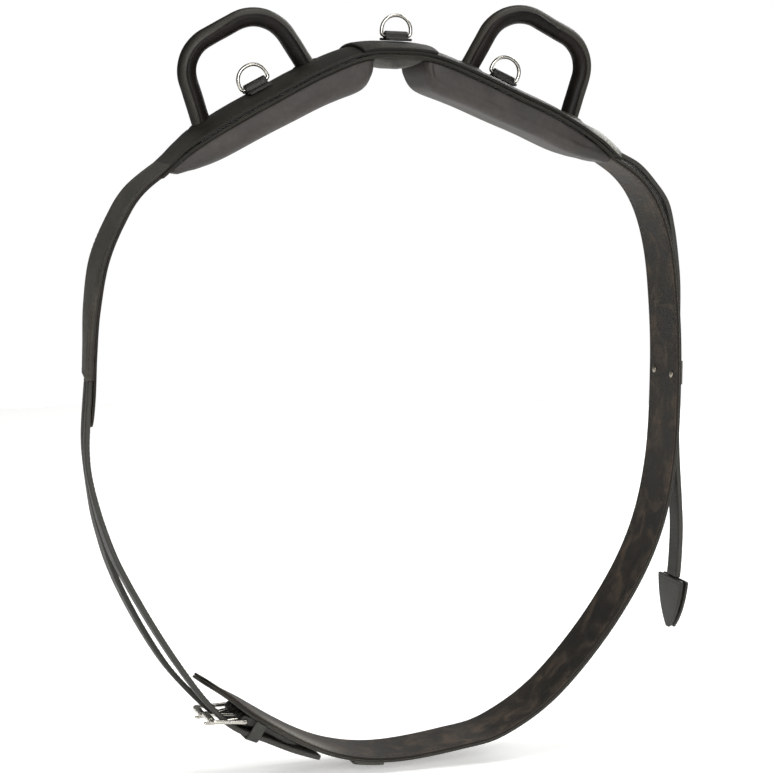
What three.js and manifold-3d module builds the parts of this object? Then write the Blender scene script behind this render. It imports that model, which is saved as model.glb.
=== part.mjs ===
// A leather vaulting surcingle: a girth that goes right round a horse behind the withers, with two padded
// panels either side of an open gullet, two rigid hand grips, three D-rings and a two-buckle fastening.
// Units are millimetres. +Z is up, +Y points to the horse's tail and +X to the side where the girth band hangs.
// The origin is in the middle of the gullet, at the level of the horse's withers.
import * as THREE from "three";
import { mergeVertices } from "three/addons/utils/BufferGeometryUtils.js";
import Module from "manifold-3d";

const wasm = await Module();
wasm.setup();

// Driving dimensions
const CROWN = 5.5; // how far the top leathers bow up in the middle
const GAP = 0.3; // clearance between pieces that touch
const PLY = 2.3; // one thickness of strap leather
const PANEL_LEATHER = 3; // the top leathers, which are heavier
const BAND_HALF = 31; // half the width of the girth and of the flap
const BILLET_WIDTH = 25;
const BILLET_THICK = 4.6;
const BILLET_Y = 17.6; // middle of each billet and buckle, in front of and behind the middle of the girth
const HANG_HALF = 11; // half the width of the outer strap
const HANG_THICK = 4.4;
const PLATE_HALF = 25;
const PLATE_THICK = 2.5;
const GRIP_RADIUS = 8.5;
const CORE_RADIUS = 5;
const WIRE = 2; // radius of the buckle frames' wire
const ROLLER_RADIUS = 3.2;
const RING_WIRE = 1.65; // radius of the D-rings' wire

// Heights across the top, measured outwards from the edge line of the top leathers
const UNDER_PANEL = -PANEL_LEATHER - GAP;
const PLATE_TOP = UNDER_PANEL - 2.5 * GAP;
const PLATE_UNDER = PLATE_TOP - PLATE_THICK;
const PAD_TOP = PLATE_UNDER - GAP;
const STRAP_TOP = UNDER_PANEL; // the band's outer face where it is sewn under a panel's end
const STRAP_UNDER = STRAP_TOP - 2 * PLY - GAP;

// Distances along the top, from its middle
const COVER_END = 34;
const COVER_THICK = 2.6;
const PLATE_END = 196;
const FILLER_END = 199;
const STRAP_START = 203;
const PANEL_END = 236;
const PAD_START = 24.5;
const PAD_END = 228;
const FOOT_INNER = 77;
const FOOT_OUTER = 183.5;

const TOP_LEATHER = { color: 0x35342e, roughness: 0.55, metalness: 0 };
const STRAP_LEATHER = { color: 0x4a4a42, roughness: 0.6, metalness: 0 };
const FLESH = { color: 0x4b3f38, roughness: 0.75, metalness: 0 };
const GRIP_LEATHER = { color: 0x24201d, roughness: 0.35, metalness: 0 };
const FELT = { color: 0xb9b09b, roughness: 1, metalness: 0 };
const STEEL = { color: 0x8c8f92, roughness: 0.45, metalness: 1 };
const NICKEL = { color: 0xcfcdc8, roughness: 0.2, metalness: 1 };

const part = new THREE.Group();

function addMesh(name, geometry, finish, parent = part) {
  const mesh = new THREE.Mesh(geometry, new THREE.MeshStandardMaterial(finish));
  mesh.name = name;
  parent.add(mesh);
  return mesh;
}

// ---- Solids: joining and cutting -------------------------------------------------------------------------

function solid(geometry) {
  const bare = geometry.clone();
  bare.deleteAttribute("normal");
  bare.deleteAttribute("uv");
  const merged = mergeVertices(bare, 1e-4);
  return new wasm.Manifold(
    new wasm.Mesh({
      numProp: 3,
      vertProperties: merged.attributes.position.array,
      triVerts: new Uint32Array(merged.index.array),
    }),
  );
}

function geometryOf(body) {
  const { vertProperties, triVerts } = body.getMesh();
  return new THREE.BufferGeometry()
    .setAttribute("position", new THREE.BufferAttribute(vertProperties, 3))
    .setIndex(new THREE.BufferAttribute(triVerts, 1));
}

function cut(geometry, ...cutters) {
  return geometryOf(cutters.reduce((body, cutter) => body.subtract(solid(cutter)), solid(geometry)));
}

function join(...geometries) {
  return geometryOf(geometries.map(solid).reduce((a, b) => a.add(b)));
}

// ---- Routes: curves in the XZ plane, measured by their length --------------------------------------------

// Every route runs clockwise as seen from the front, so the outside of the girth is on its left.
// at(s, h, y) is the point at distance s from the route's zero, h millimetres outwards from it. A strap that
// is twisted leans: each millimetre towards the tail takes it lean(z) millimetres inwards.
function route(points, zero = 0, lean = () => 0) {
  const curve = new THREE.SplineCurve(points.map(([x, z]) => new THREE.Vector2(x, z)));
  curve.arcLengthDivisions = 600;
  const length = curve.getLength();
  const share = (s) => THREE.MathUtils.clamp((s + zero * length) / length, 0, 1);
  const at = (s, h = 0, y = 0) => {
    const p = curve.getPointAt(share(s));
    const t = curve.getTangentAt(share(s));
    const out = h - lean(p.y) * y;
    return [p.x - t.y * out, p.y + t.x * out];
  };
  const slope = (s) => {
    const t = curve.getTangentAt(share(s));
    return Math.atan2(t.y, t.x);
  };
  return { at, slope, length };
}

const spread = (from, to, steps) => Array.from({ length: steps + 1 }, (_, i) => from + ((to - from) * i) / steps);

// A closed solid along a route. section(s) lists its outline as [across, out] pairs, anticlockwise.
function loft(path, stations, section) {
  const rings = stations.map((s) =>
    section(s).map(([y, h]) => {
      const [x, z] = path.at(s, h, y);
      return [x, y, z];
    }),
  );
  const sides = rings[0].length;
  const index = [];
  for (let i = 0; i < rings.length - 1; i++) {
    for (let j = 0; j < sides; j++) {
      const a = i * sides + j;
      const b = i * sides + ((j + 1) % sides);
      index.push(a, b, b + sides, a, b + sides, a + sides);
    }
  }
  const last = (rings.length - 1) * sides;
  const cap = (s) => THREE.ShapeUtils.triangulateShape(section(s).map(([y, h]) => new THREE.Vector2(y, h)), []);
  cap(stations[0]).forEach(([a, b, c]) => index.push(a, c, b));
  cap(stations.at(-1)).forEach(([a, b, c]) => index.push(last + a, last + b, last + c));
  return new THREE.BufferGeometry()
    .setAttribute("position", new THREE.Float32BufferAttribute(rings.flat(2), 3))
    .setIndex(index);
}

// ---- Sections: outlines across a route -------------------------------------------------------------------

const bar = (y0, y1, h0, h1) => [[y0, h0], [y1, h0], [y1, h1], [y0, h1]];

const ACROSS = spread(-1, 1, 6);

// A leather bowed upwards by crown at its middle.
const bowed = (half, crown, h0, h1) => [
  ...ACROSS.map((v) => [v * half, h0 + crown * (1 - v * v)]),
  ...ACROSS.toReversed().map((v) => [v * half, h1 + crown * (1 - v * v)]),
];

// A block with its two lower edges rounded.
function cushion(half, top, under, radius) {
  const corner = (side) =>
    spread(0, Math.PI / 2, 3).map((a) => [
      side * (half - radius + radius * Math.cos(a)),
      under + radius - radius * Math.sin(a),
    ]);
  return [[-half, top], ...corner(-1), ...corner(1).toReversed(), [half, top]];
}

// A strip that lies flat, rises over something and lies flat again.
const bridge = (inside, rise, foot, thick, base = GAP) => [
  [-foot, base],
  [-inside, base],
  [-inside, rise],
  [inside, rise],
  [inside, base],
  [foot, base],
  [foot, base + thick],
  [inside + thick, base + thick],
  [inside + thick, rise + thick],
  [-inside - thick, rise + thick],
  [-inside - thick, base + thick],
  [-foot, base + thick],
];

const round = (y, h, radius, sides = 8) =>
  spread(0, 2 * Math.PI, sides)
    .slice(1)
    .map((a) => [y + radius * Math.cos(a), h + radius * Math.sin(a)]);

// ---- Wires: round bars bent in a plane -------------------------------------------------------------------

// The points of a bent line whose corners are arcs of the given radii.
function bend(points, radii, closed = false, steps = 4) {
  const corners = points.map(([x, y]) => new THREE.Vector2(x, y));
  const n = corners.length;
  return corners.flatMap((corner, i) => {
    if (!closed && (i === 0 || i === n - 1)) return [corner];
    const before = corners[(i + n - 1) % n].clone().sub(corner).normalize();
    const after = corners[(i + 1) % n].clone().sub(corner).normalize();
    const half = Math.acos(THREE.MathUtils.clamp(before.dot(after), -1, 1)) / 2;
    const radius = radii[i];
    const centre = before.clone().add(after).normalize().multiplyScalar(radius / Math.sin(half)).add(corner);
    const start = before.clone().multiplyScalar(radius / Math.tan(half)).add(corner).sub(centre);
    const turn = Math.sign(before.cross(after)) * -(Math.PI - 2 * half);
    return spread(0, turn, steps).map((a) => start.clone().rotateAround(new THREE.Vector2(), a).add(centre));
  });
}

// A round wire whose middle follows the points, in the XZ plane.
function wire(points, radius, sides, closed = false) {
  const n = points.length;
  const positions = points.flatMap((p, i) => {
    const before = closed ? points[(i + n - 1) % n] : points[Math.max(i - 1, 0)];
    const after = closed ? points[(i + 1) % n] : points[Math.min(i + 1, n - 1)];
    const along = after.clone().sub(before).normalize();
    return round(0, 0, radius, sides).map(([y, h]) => [p.x - along.y * h, y, p.y + along.x * h]);
  });
  const index = [];
  for (let i = 0; i < (closed ? n : n - 1); i++) {
    for (let j = 0; j < sides; j++) {
      const k = (j + 1) % sides;
      const next = ((i + 1) % n) * sides;
      index.push(i * sides + j, i * sides + k, next + k, i * sides + j, next + k, next + j);
    }
  }
  if (!closed) {
    const last = (n - 1) * sides;
    for (let j = 1; j < sides - 1; j++) {
      index.push(0, j + 1, j);
      index.push(last, last + j, last + j + 1);
    }
  }
  return new THREE.BufferGeometry()
    .setAttribute("position", new THREE.Float32BufferAttribute(positions.flat(), 3))
    .setIndex(index);
}

// A group that stands on a route at s, h outwards: its X runs along the route and its Z points outwards.
function standOn(path, s, h, y = 0) {
  const group = new THREE.Group();
  const [x, z] = path.at(s, h);
  group.position.set(x, y, z);
  group.rotation.y = -path.slope(s);
  part.add(group);
  return group;
}

// ---- Routes of this surcingle ----------------------------------------------------------------------------

// The edge line of the top leathers, over the arch from the flap side to the girth side.
const crest = route(
  [
    [-214, -94],
    [-189, -73],
    [-150, -49],
    [-112, -29],
    [-74, -10],
    [-34, 4.8],
    [0, 6.5],
    [34, 2.5],
    [74, -13],
    [112, -30.5],
    [150, -48],
    [189, -71],
    [214, -94],
  ],
  0.5,
);

// The girth's outer face, from under the right panel down, along the bottom and up to the tip of the guard.
const girth = route([
  crest.at(STRAP_START, STRAP_TOP),
  crest.at(222, STRAP_TOP),
  [232, -106.5],
  [252, -134],
  [264.5, -172],
  [271, -221],
  [274, -288],
  [270, -377],
  [252, -450],
  [213, -519],
  [157, -583],
  [104, -617],
  [60, -627],
  [0, -633],
  [-45, -628],
  [-86, -612.5],
  [-139, -579.4],
  [-186, -545],
]);

// The left flap's inner face, from its lower end up to under the left panel.
const twist = (z) =>
  0.14 * THREE.MathUtils.smoothstep(-z, 160, 265) * (1 - THREE.MathUtils.smoothstep(-z, 345, 432));
const flap = route(
  [
    [-271.6, -315],
    [-268.8, -285],
    [-267.2, -250],
    [-265.6, -213],
    [-259.8, -173],
    [-245.5, -139],
    [-228, -113],
    crest.at(-222, STRAP_UNDER),
    crest.at(-STRAP_START, STRAP_UNDER),
  ],
  0,
  twist,
);
const FLAP_TOP = flap.length;
const LINING_OVER = PLY + GAP; // outwards from the flap's inner face to the billets

// Each billet's inner face, from its tail end, through the buckle and up between the flap's two plies.
// The rear billet hangs a little slacker than the front one between the flap and its buckle.
const billetTop = [
  [-258.5, -420],
  [-265, -398],
  [-269.6, -377],
  [-273.3, -355],
  [-274.8, -336],
  flap.at(0, LINING_OVER),
  flap.at(45, LINING_OVER),
  flap.at(85, LINING_OVER),
];
const billets = {
  front: route(
    [
      [-72, -621.5],
      [-98, -612],
      [-125, -599.5],
      [-143, -592],
      [-157, -583],
      [-168, -571.5],
      [-182, -554.5],
      [-201, -526.5],
      [-219.5, -496.5],
      [-236.3, -466.5],
      [-251, -438],
      ...billetTop,
    ],
    0,
    twist,
  ),
  rear: route(
    [
      [-72, -621.5],
      [-98, -612],
      [-125, -599.5],
      [-143, -592],
      [-157.5, -584],
      [-169.5, -574.5],
      [-185.5, -557.5],
      [-204, -534.5],
      [-224, -501.5],
      [-241, -468],
      [-251.5, -442.5],
      ...billetTop,
    ],
    0,
    twist,
  ),
};

// The middle of the outer strap, from under the right panel's end to the side keeper, and of its free tail.
const HANG_PIVOT = [279, -308]; // where the tail bends below the side keeper
const hang = route([
  crest.at(204, 1.9),
  crest.at(222, 4.2),
  [218, -87.5],
  [237, -98],
  [252.2, -113.5],
  [265.5, -132],
  [271.8, -155],
  [276, -182],
  [278.6, -210],
  [279, -250],
  [279, HANG_PIVOT[1] + HANG_THICK / 2 + GAP + 0.1],
]);
const tail = route([
  HANG_PIVOT,
  [279.3, -335],
  [280.8, -371],
  [283.6, -410],
  [285.2, -440],
  [284.3, -470],
  [282.8, -488],
  [281.9, -508],
]);

// ---- The top: arch plate, panels, pads and welts ---------------------------------------------------------

const smooth = (s, from, to) => THREE.MathUtils.smoothstep(s, from, to);
const panelHalf = (s) => 38.5 - 6 * smooth(Math.abs(s), 150, 226);
const mirrored = (side, stations) => (side > 0 ? stations : stations.map((s) => -s).toReversed());

// Straight runs between pairs of [distance, depth].
function between(pairs, s) {
  const i = Math.max(1, pairs.findIndex(([d]) => d >= s));
  const [[d0, v0], [d1, v1]] = [pairs[i - 1], pairs[i]];
  return THREE.MathUtils.mapLinear(s, d0, d1, v0, v1);
}

const handleFeet = [FOOT_INNER, FOOT_OUTER];
const GRIP_CORNERS = { left: [[-111.5, 47], [-189.6, 5]], right: [[110.2, 50.5], [191, 7]] }; // upper, lower
const COVER_LOW = -2.4; // where a grip's leather tube ends, inside the panel
const CORE_LOW = -25; // deeper than any rod, for cutting its holes

// The middle line of a hand grip, from lowEnd under the inner foot round to the same depth under the outer foot.
function handleLine(side, lowEnd) {
  const foot = (s, h) => crest.at(side * s, h);
  const corners = [
    foot(FOOT_INNER, lowEnd),
    foot(FOOT_INNER, 3),
    ...GRIP_CORNERS[side < 0 ? "left" : "right"],
    foot(FOOT_OUTER, 3),
    foot(FOOT_OUTER, lowEnd),
  ];
  return bend(corners, [0, 14, 36, 32, 14, 0]);
}

addMesh(
  "steel_arch_plate",
  cut(
    loft(crest, spread(-PLATE_END, PLATE_END, 28), () => bar(-PLATE_HALF, PLATE_HALF, PLATE_UNDER, PLATE_TOP)),
    ...[-1, 1].map((side) => wire(handleLine(side, CORE_LOW), CORE_RADIUS + GAP, 10)),
  ),
  STEEL,
);

// How deep a pad is below the edge line, as [distance from the middle, depth].
const PAD_DEPTH = [
  [24, 14],
  [29, 21],
  [37, 28.5],
  [50, 31.5],
  [76, 30.5],
  [125, 29],
  [179, 27],
  [205, 22],
  [217, 17],
  [229, 11],
];
const PAD_STATIONS = [24.5, 26, 28, 31, 36, 42, 52, 75, 100, 125, 150, 175, 197, 202, 210, 219, 228];
const NUT_HEIGHT = 7.5;
const NUT_RADIUS = 9.2;

// A pad's section, inset all round by the given amount, with its top at the plate or under the strap's end.
function padSection(s, inset, lift) {
  const from = Math.abs(s) - PAD_START;
  const plan = 9; // radius of the pad's corners as seen from above
  const narrow = from < plan ? plan - Math.sqrt(plan * plan - (plan - from) ** 2) : 0;
  const half = panelHalf(s) - 1.5 - narrow * 0.8 - inset;
  const seat = Math.abs(s) < 200 ? PAD_TOP : STRAP_UNDER - 4 * GAP;
  const under = -between(PAD_DEPTH, Math.abs(s)) + inset;
  return cushion(half, seat + lift, under, Math.min(11, (seat - under) * 0.6));
}

function addPanelAndPad(side, name, endCrown) {
  const crown = (s) => CROWN + (endCrown - CROWN) * smooth(Math.abs(s), 165, 234);
  const lift = (s) => 1.8 * smooth(Math.abs(s), 200, 216); // over the band's end, sewn in underneath
  const along = (from, to, steps) => mirrored(side, spread(from, to, steps));
  const gripCutter = wire(handleLine(side, COVER_LOW), GRIP_RADIUS + GAP, 10);
  const coreCutter = wire(handleLine(side, CORE_LOW), CORE_RADIUS + 2 * GAP, 8);

  addMesh(
    `${name}_top_panel`,
    cut(
      loft(crest, along(1, PANEL_END, 15), (s) =>
        bowed(panelHalf(s), crown(s), lift(s) - PANEL_LEATHER, lift(s)),
      ),
      gripCutter,
    ),
    TOP_LEATHER,
  );
  addMesh(
    `${name}_filler`,
    cut(
      loft(crest, along(2, FILLER_END, 12), (s) => {
        const half = panelHalf(s) - 9;
        const top = (y) => UNDER_PANEL - 2 * GAP + crown(s) * (1 - (y / panelHalf(s)) ** 2);
        return [[-half, UNDER_PANEL], [half, UNDER_PANEL], ...spread(half, -half, 4).map((y) => [y, top(y)])];
      }),
      gripCutter,
      coreCutter,
    ),
    FELT,
  );

  const stations = mirrored(side, PAD_STATIONS);
  const inner = (inset) => {
    const held = PAD_STATIONS.map((s) => THREE.MathUtils.clamp(s, PAD_START + inset, PAD_END - inset));
    return mirrored(side, [...new Set(held)]);
  };
  addMesh(
    `${name}_pad_cover`,
    cut(
      loft(crest, stations, (s) => padSection(s, 0, 0)),
      loft(crest, inner(PLY), (s) => padSection(s, PLY, 6)),
    ),
    TOP_LEATHER,
  );
  const pockets = handleFeet.map((s) => {
    const depth = -PLATE_UNDER + NUT_HEIGHT + 5;
    const [x, z] = crest.at(side * s, -depth / 2);
    return new THREE.CylinderGeometry(NUT_RADIUS + 1, NUT_RADIUS + 1, depth, 12)
      .rotateX(Math.PI / 2)
      .rotateY(-crest.slope(side * s))
      .translate(x, 0, z);
  });
  addMesh(
    `${name}_pad_filling`,
    cut(loft(crest, inner(PLY + GAP), (s) => padSection(s, PLY + GAP, 0)), ...pockets),
    FELT,
  );

  addMesh(
    `${name}_handle_grip`,
    cut(wire(handleLine(side, COVER_LOW), GRIP_RADIUS, 10), coreCutter),
    GRIP_LEATHER,
  );
  const coreEnd = PLATE_UNDER - NUT_HEIGHT - 2;
  addMesh(`${name}_handle_core`, wire(handleLine(side, coreEnd), CORE_RADIUS, 8), STEEL);
  ["inner", "outer"].forEach((which, i) => {
    const hexagon = new THREE.Shape(
      round(0, 0, NUT_RADIUS, 6).map(([x, y]) => new THREE.Vector2(x, y)),
    );
    hexagon.holes.push(new THREE.Path().absarc(0, 0, CORE_RADIUS + GAP, 0, 2 * Math.PI));
    const nut = new THREE.ExtrudeGeometry(hexagon, { depth: NUT_HEIGHT, bevelEnabled: false, curveSegments: 5 });
    const stand = standOn(crest, side * handleFeet[i], PLATE_UNDER - GAP - NUT_HEIGHT);
    addMesh(`${name}_${which}_handle_nut`, nut, STEEL, stand);
  });
}
addPanelAndPad(-1, "left", CROWN);
addPanelAndPad(1, "right", 12);

const WELT_END = 230;
const WELT_RADIUS = 1.6;
[["front", -1], ["rear", 1]].forEach(([name, side]) => {
  const edge = (s) => side * Math.max(panelHalf(s) - 0.6, BAND_HALF + WELT_RADIUS + GAP);
  const welt = loft(crest, spread(-WELT_END, WELT_END, 34), (s) =>
    round(edge(s), UNDER_PANEL - WELT_RADIUS, WELT_RADIUS, 6),
  );
  addMesh(`${name}_welt`, welt, TOP_LEATHER);
});

addMesh(
  "gullet_cover",
  loft(crest, spread(-COVER_END, COVER_END, 8), () => bowed(38.2, CROWN, GAP, GAP + COVER_THICK)),
  TOP_LEATHER,
);
addMesh(
  "gullet_lining",
  loft(crest, spread(-23, 23, 8), (s) => cushion(31, PAD_TOP, PAD_TOP - 1.5 - 7.5 * (1 - (s / 24) ** 2), 1.2)),
  STRAP_LEATHER,
);

// ---- D-rings and their loops -----------------------------------------------------------------------------

const RING_LIFT = 4.6; // from the leather to the ring's straight side
const LOOP_HALF = 10.5;

const RING_PLACES = [["left", -125, CROWN], ["centre", 6.5, CROWN + GAP + COVER_THICK], ["right", 110, CROWN]];
RING_PLACES.forEach(([name, s, surface]) => {
  const stand = standOn(crest, s, surface);
  const loop = loft({ at: (x, h) => [x, h] }, [-LOOP_HALF, LOOP_HALF], () => bridge(2.3, RING_LIFT + 2, 14, PLY));
  addMesh(`${name}_ring_loop`, loop, TOP_LEATHER, stand);
  const outline = [[-13.5, 0], [13.5, 0], [13.5, 18], [-13.5, 18]];
  const ring = wire(bend(outline, [3, 3, 13, 13], true), RING_WIRE, 7, true);
  addMesh(`${name}_d_ring`, ring.translate(0, 0, RING_LIFT), NICKEL, stand);
});

// ---- The left flap and the billets -----------------------------------------------------------------------

addMesh("flap_lining", loft(flap, spread(0, FLAP_TOP, 30), () => bar(-BAND_HALF, BAND_HALF, 0, PLY)), FLESH);
const flapOuterBase = (s) => LINING_OVER + (BILLET_THICK + GAP) * (1 - smooth(s, 88, 112));
addMesh(
  "flap_outer",
  loft(flap, [...spread(42, 120, 14), ...spread(128, FLAP_TOP, 16)], (s) =>
    bar(-BAND_HALF, BAND_HALF, flapOuterBase(s), flapOuterBase(s) + PLY),
  ),
  STRAP_LEATHER,
);

// A punched hole through a billet, longer than wide where the tongue lies in it.
const punch = (billet, s, y, halfLength, halfWidth) =>
  loft(billet, spread(s - halfLength, s + halfLength, 4), (t) => {
    const reach = Math.max(0.25, halfWidth * Math.sqrt(Math.max(0, 1 - ((t - s) / halfLength) ** 2)));
    return bar(y - reach, y + reach, -1, BILLET_THICK + 1);
  });

const TONGUE_HOLE = 93; // distance from the billet's tail end to the hole that the tongue is in
const HOLE_PITCH = 27;
const SIDES = [["front", -BILLET_Y], ["rear", BILLET_Y]];

SIDES.forEach(([name, y]) => {
  const billet = billets[name];
  const spare = [-2, -1, 1, 2, 3, 4].map((i) => punch(billet, TONGUE_HOLE + i * HOLE_PITCH, y, 2.3, 2.3));
  addMesh(
    `${name}_billet`,
    cut(
      loft(billet, spread(0, billet.length, 46), () =>
        bar(y - BILLET_WIDTH / 2, y + BILLET_WIDTH / 2, 0, BILLET_THICK),
      ),
      punch(billet, TONGUE_HOLE, y, 6.5, 2.5),
      ...spare,
    ),
    STRAP_LEATHER,
  );
});

// ---- The girth band, the side keeper and the bottom keeper -----------------------------------------------

const GIRTH_LENGTH = girth.length;
const SIDE_KEEPER = 253; // distance down the girth to the side keeper's middle
const BOTTOM_KEEPER = 773;

const RIVET_Y = 19;
function rivetGeometry(from, to) {
  const head = [[1.6, to], [3, to], [2.7, to + 0.8], [0, to + 1]];
  const washer = [[0, from - 1.1], [3, from - 0.9], [3.3, from], [1.6, from]];
  const profile = [...washer, ...head];
  return new THREE.LatheGeometry(profile.map(([r, z]) => new THREE.Vector2(r, z)), 12).rotateX(Math.PI / 2);
}
const rivetHoles = () =>
  [-RIVET_Y, RIVET_Y].map((y) =>
    loft(girth, [SIDE_KEEPER - 1.9, SIDE_KEEPER, SIDE_KEEPER + 1.9], (s) => {
      const reach = s === SIDE_KEEPER ? 2.2 : 1.4;
      return bar(y - reach, y + reach, -8, 5);
    }),
  );

const band = (h0, h1) => loft(girth, spread(0, GIRTH_LENGTH, 56), () => bar(-BAND_HALF, BAND_HALF, h0, h1));
addMesh("girth_outer", cut(band(-PLY, 0), ...rivetHoles()), STRAP_LEATHER);
addMesh("girth_lining", cut(band(-2 * PLY - GAP, -PLY - GAP), ...rivetHoles()), FLESH);

addMesh(
  "side_keeper",
  cut(
    loft(girth, [SIDE_KEEPER - 11, SIDE_KEEPER + 11], () => bridge(HANG_HALF + 0.8, 7.8, 24, PLY)),
    ...rivetHoles(),
  ),
  STRAP_LEATHER,
);
SIDES.forEach(([name, y]) => {
  const rivet = rivetGeometry(-2 * PLY - 2 * GAP, 2 * GAP + PLY);
  addMesh(`${name}_keeper_rivet`, rivet, STEEL, standOn(girth, SIDE_KEEPER, 0, Math.sign(y) * RIVET_Y));
});
addMesh(
  "bottom_keeper",
  loft(girth, [BOTTOM_KEEPER - 12.5, BOTTOM_KEEPER + 12.5], () => bridge(16, 4.4, 26, PLY, 3 * GAP)),
  STRAP_LEATHER,
);

// ---- The outer strap, its free tail and the arrowhead ----------------------------------------------------

const hangSection = () => bar(-HANG_HALF, HANG_HALF, -HANG_THICK / 2, HANG_THICK / 2);
addMesh("hang_strap", loft(hang, spread(0, hang.length, 30), hangSection), STRAP_LEATHER);

const ARROW_TOP = 179; // distance down the tail to the arrowhead's shoulders
const TONGUE_THICK = 1.8; // the tail is pared down to this between the arrowhead's plies
const tailEnd = new THREE.CylinderGeometry(HANG_THICK / 2, HANG_THICK / 2, 2 * HANG_HALF, 12).translate(
  HANG_PIVOT[0],
  0,
  HANG_PIVOT[1],
);
addMesh(
  "hang_tail",
  join(
    tailEnd,
    loft(tail, spread(0, ARROW_TOP - GAP, 20), hangSection),
    loft(tail, spread(ARROW_TOP - 4, ARROW_TOP + 16, 4), () => bar(-9, 9, -TONGUE_THICK / 2, TONGUE_THICK / 2)),
  ),
  STRAP_LEATHER,
);

// The arrowhead's outline: straight shoulders, then two bowed sides that meet in a blunt tip.
const ARROW_HALF = 27;
const ARROW_LENGTH = 48;
const ARROW_PLY = 2.5;
function arrowPly(out) {
  const arrow = new THREE.Shape();
  arrow.moveTo(ARROW_HALF, 0);
  arrow.quadraticCurveTo(ARROW_HALF - 4, -ARROW_LENGTH * 0.62, 3, -ARROW_LENGTH);
  arrow.lineTo(-3, -ARROW_LENGTH);
  arrow.quadraticCurveTo(-ARROW_HALF + 4, -ARROW_LENGTH * 0.62, -ARROW_HALF, 0);
  arrow.closePath();
  const ply = new THREE.ExtrudeGeometry(arrow, { depth: ARROW_PLY, bevelEnabled: false, curveSegments: 8 });
  return ply.rotateX(Math.PI / 2).rotateZ(Math.PI / 2).translate(out, 0, 0);
}
const arrowStand = new THREE.Group();
const [arrowX, arrowZ] = tail.at(ARROW_TOP);
arrowStand.position.set(arrowX, 0, arrowZ);
arrowStand.rotation.y = -Math.PI / 2 - tail.slope(ARROW_TOP + 8);
part.add(arrowStand);
addMesh("arrow_outer", arrowPly(TONGUE_THICK / 2 + GAP), STRAP_LEATHER, arrowStand);
addMesh("arrow_inner", arrowPly(-TONGUE_THICK / 2 - GAP - ARROW_PLY), STRAP_LEATHER, arrowStand);

// ---- The two buckles, their chapes and keepers -----------------------------------------------------------

const BAR = [-143, -583.5]; // the back bar, which the chape and the tongue turn round
const FRAME_LENGTH = 31;
const FRAME_TILT = { front: 5.5, rear: -0.5 }; // degrees that the roller is higher than the bar
const FRAME_INSIDE = 26;
const CHAPE_HALF = 10.5;
const CHAPE_FROM = 848; // distances along the girth between which the chape lies
const CHAPE_TO = 901;
const KEEPER_AT = 887;
const KEEPER_WALL = 1.9;
// From the girth to the inside of the billet keepers, which lean with the billets.
const keeperRise = (s) => 16.5 + 0.19 * (s - KEEPER_AT);

SIDES.forEach(([name, y]) => {
  // X runs from the bar to the roller, Z points outwards.
  const buckle = new THREE.Group();
  buckle.position.set(BAR[0], y, BAR[1]);
  const tilt = THREE.MathUtils.degToRad(FRAME_TILT[name]);
  buckle.rotation.y = Math.PI + tilt;
  part.add(buckle);

  const side = FRAME_INSIDE / 2 + WIRE;
  const corners = [[0, -side], [FRAME_LENGTH, -side], [FRAME_LENGTH, side], [0, side]];
  const frame = wire(bend(corners, [2.6, 2.6, 2.6, 2.6], true, 3), WIRE, 8, true);
  addMesh(`${name}_buckle_frame`, frame.rotateX(-Math.PI / 2), NICKEL, buckle);

  const sleeve = new THREE.Shape().absarc(0, 0, ROLLER_RADIUS, 0, 2 * Math.PI);
  sleeve.holes.push(new THREE.Path().absarc(0, 0, WIRE + GAP, 0, 2 * Math.PI));
  const length = FRAME_INSIDE - 2.4;
  const roller = new THREE.ExtrudeGeometry(sleeve, { depth: length, bevelEnabled: false, curveSegments: 7 })
    .translate(0, 0, -length / 2)
    .rotateX(Math.PI / 2)
    .translate(FRAME_LENGTH, 0, 0);
  addMesh(`${name}_roller`, roller, NICKEL, buckle);

  const eye = new THREE.CylinderGeometry(WIRE + 2, WIRE + 2, 3.6, 14);
  const shank = wire(
    [[3, 0.3], [10, 1.2], [19, 3.3], [26, 5], [31, 5.6], [35, 4.9]].map(([x, z]) => new THREE.Vector2(x, z)),
    1.7,
    8,
  );
  const bore = new THREE.CylinderGeometry(WIRE + GAP, WIRE + GAP, 8, 14);
  addMesh(`${name}_tongue`, cut(join(eye, shank), bore), NICKEL, buckle);

  const onBar = (geometry) => geometry.translate(BAR[0], y, BAR[1]);
  const fold = onBar(new THREE.CylinderGeometry(WIRE + GAP + PLY, WIRE + GAP + PLY, 2 * CHAPE_HALF, 16));
  const layers = loft(girth, spread(CHAPE_FROM, CHAPE_TO, 8), (s) => {
    const raised = 4 * smooth(s, CHAPE_TO - 16, CHAPE_TO);
    const pared = 1.9 * (1 - smooth(s, CHAPE_FROM, CHAPE_FROM + 10));
    return bar(y - CHAPE_HALF, y + CHAPE_HALF, GAP, GAP + 2 * PLY + raised - pared);
  });
  const hole = onBar(new THREE.CylinderGeometry(WIRE + GAP, WIRE + GAP, 2 * CHAPE_HALF + 2, 16));
  const slot = onBar(new THREE.BoxGeometry(18, 4.6, 18).rotateY(tilt));
  addMesh(`${name}_chape`, cut(join(fold, layers), hole, slot), STRAP_LEATHER);

  const inside = BILLET_WIDTH / 2 + GAP;
  const outside = inside + KEEPER_WALL;
  addMesh(
    `${name}_billet_keeper`,
    loft(girth, [KEEPER_AT - 5.5, KEEPER_AT + 5.5], (s) => [
      [y - outside, GAP],
      [y - inside, GAP],
      [y - inside, keeperRise(s)],
      [y + inside, keeperRise(s)],
      [y + inside, GAP],
      [y + outside, GAP],
      [y + outside, keeperRise(s) + KEEPER_WALL],
      [y - outside, keeperRise(s) + KEEPER_WALL],
    ]),
    STRAP_LEATHER,
  );
});

export default part;
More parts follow.
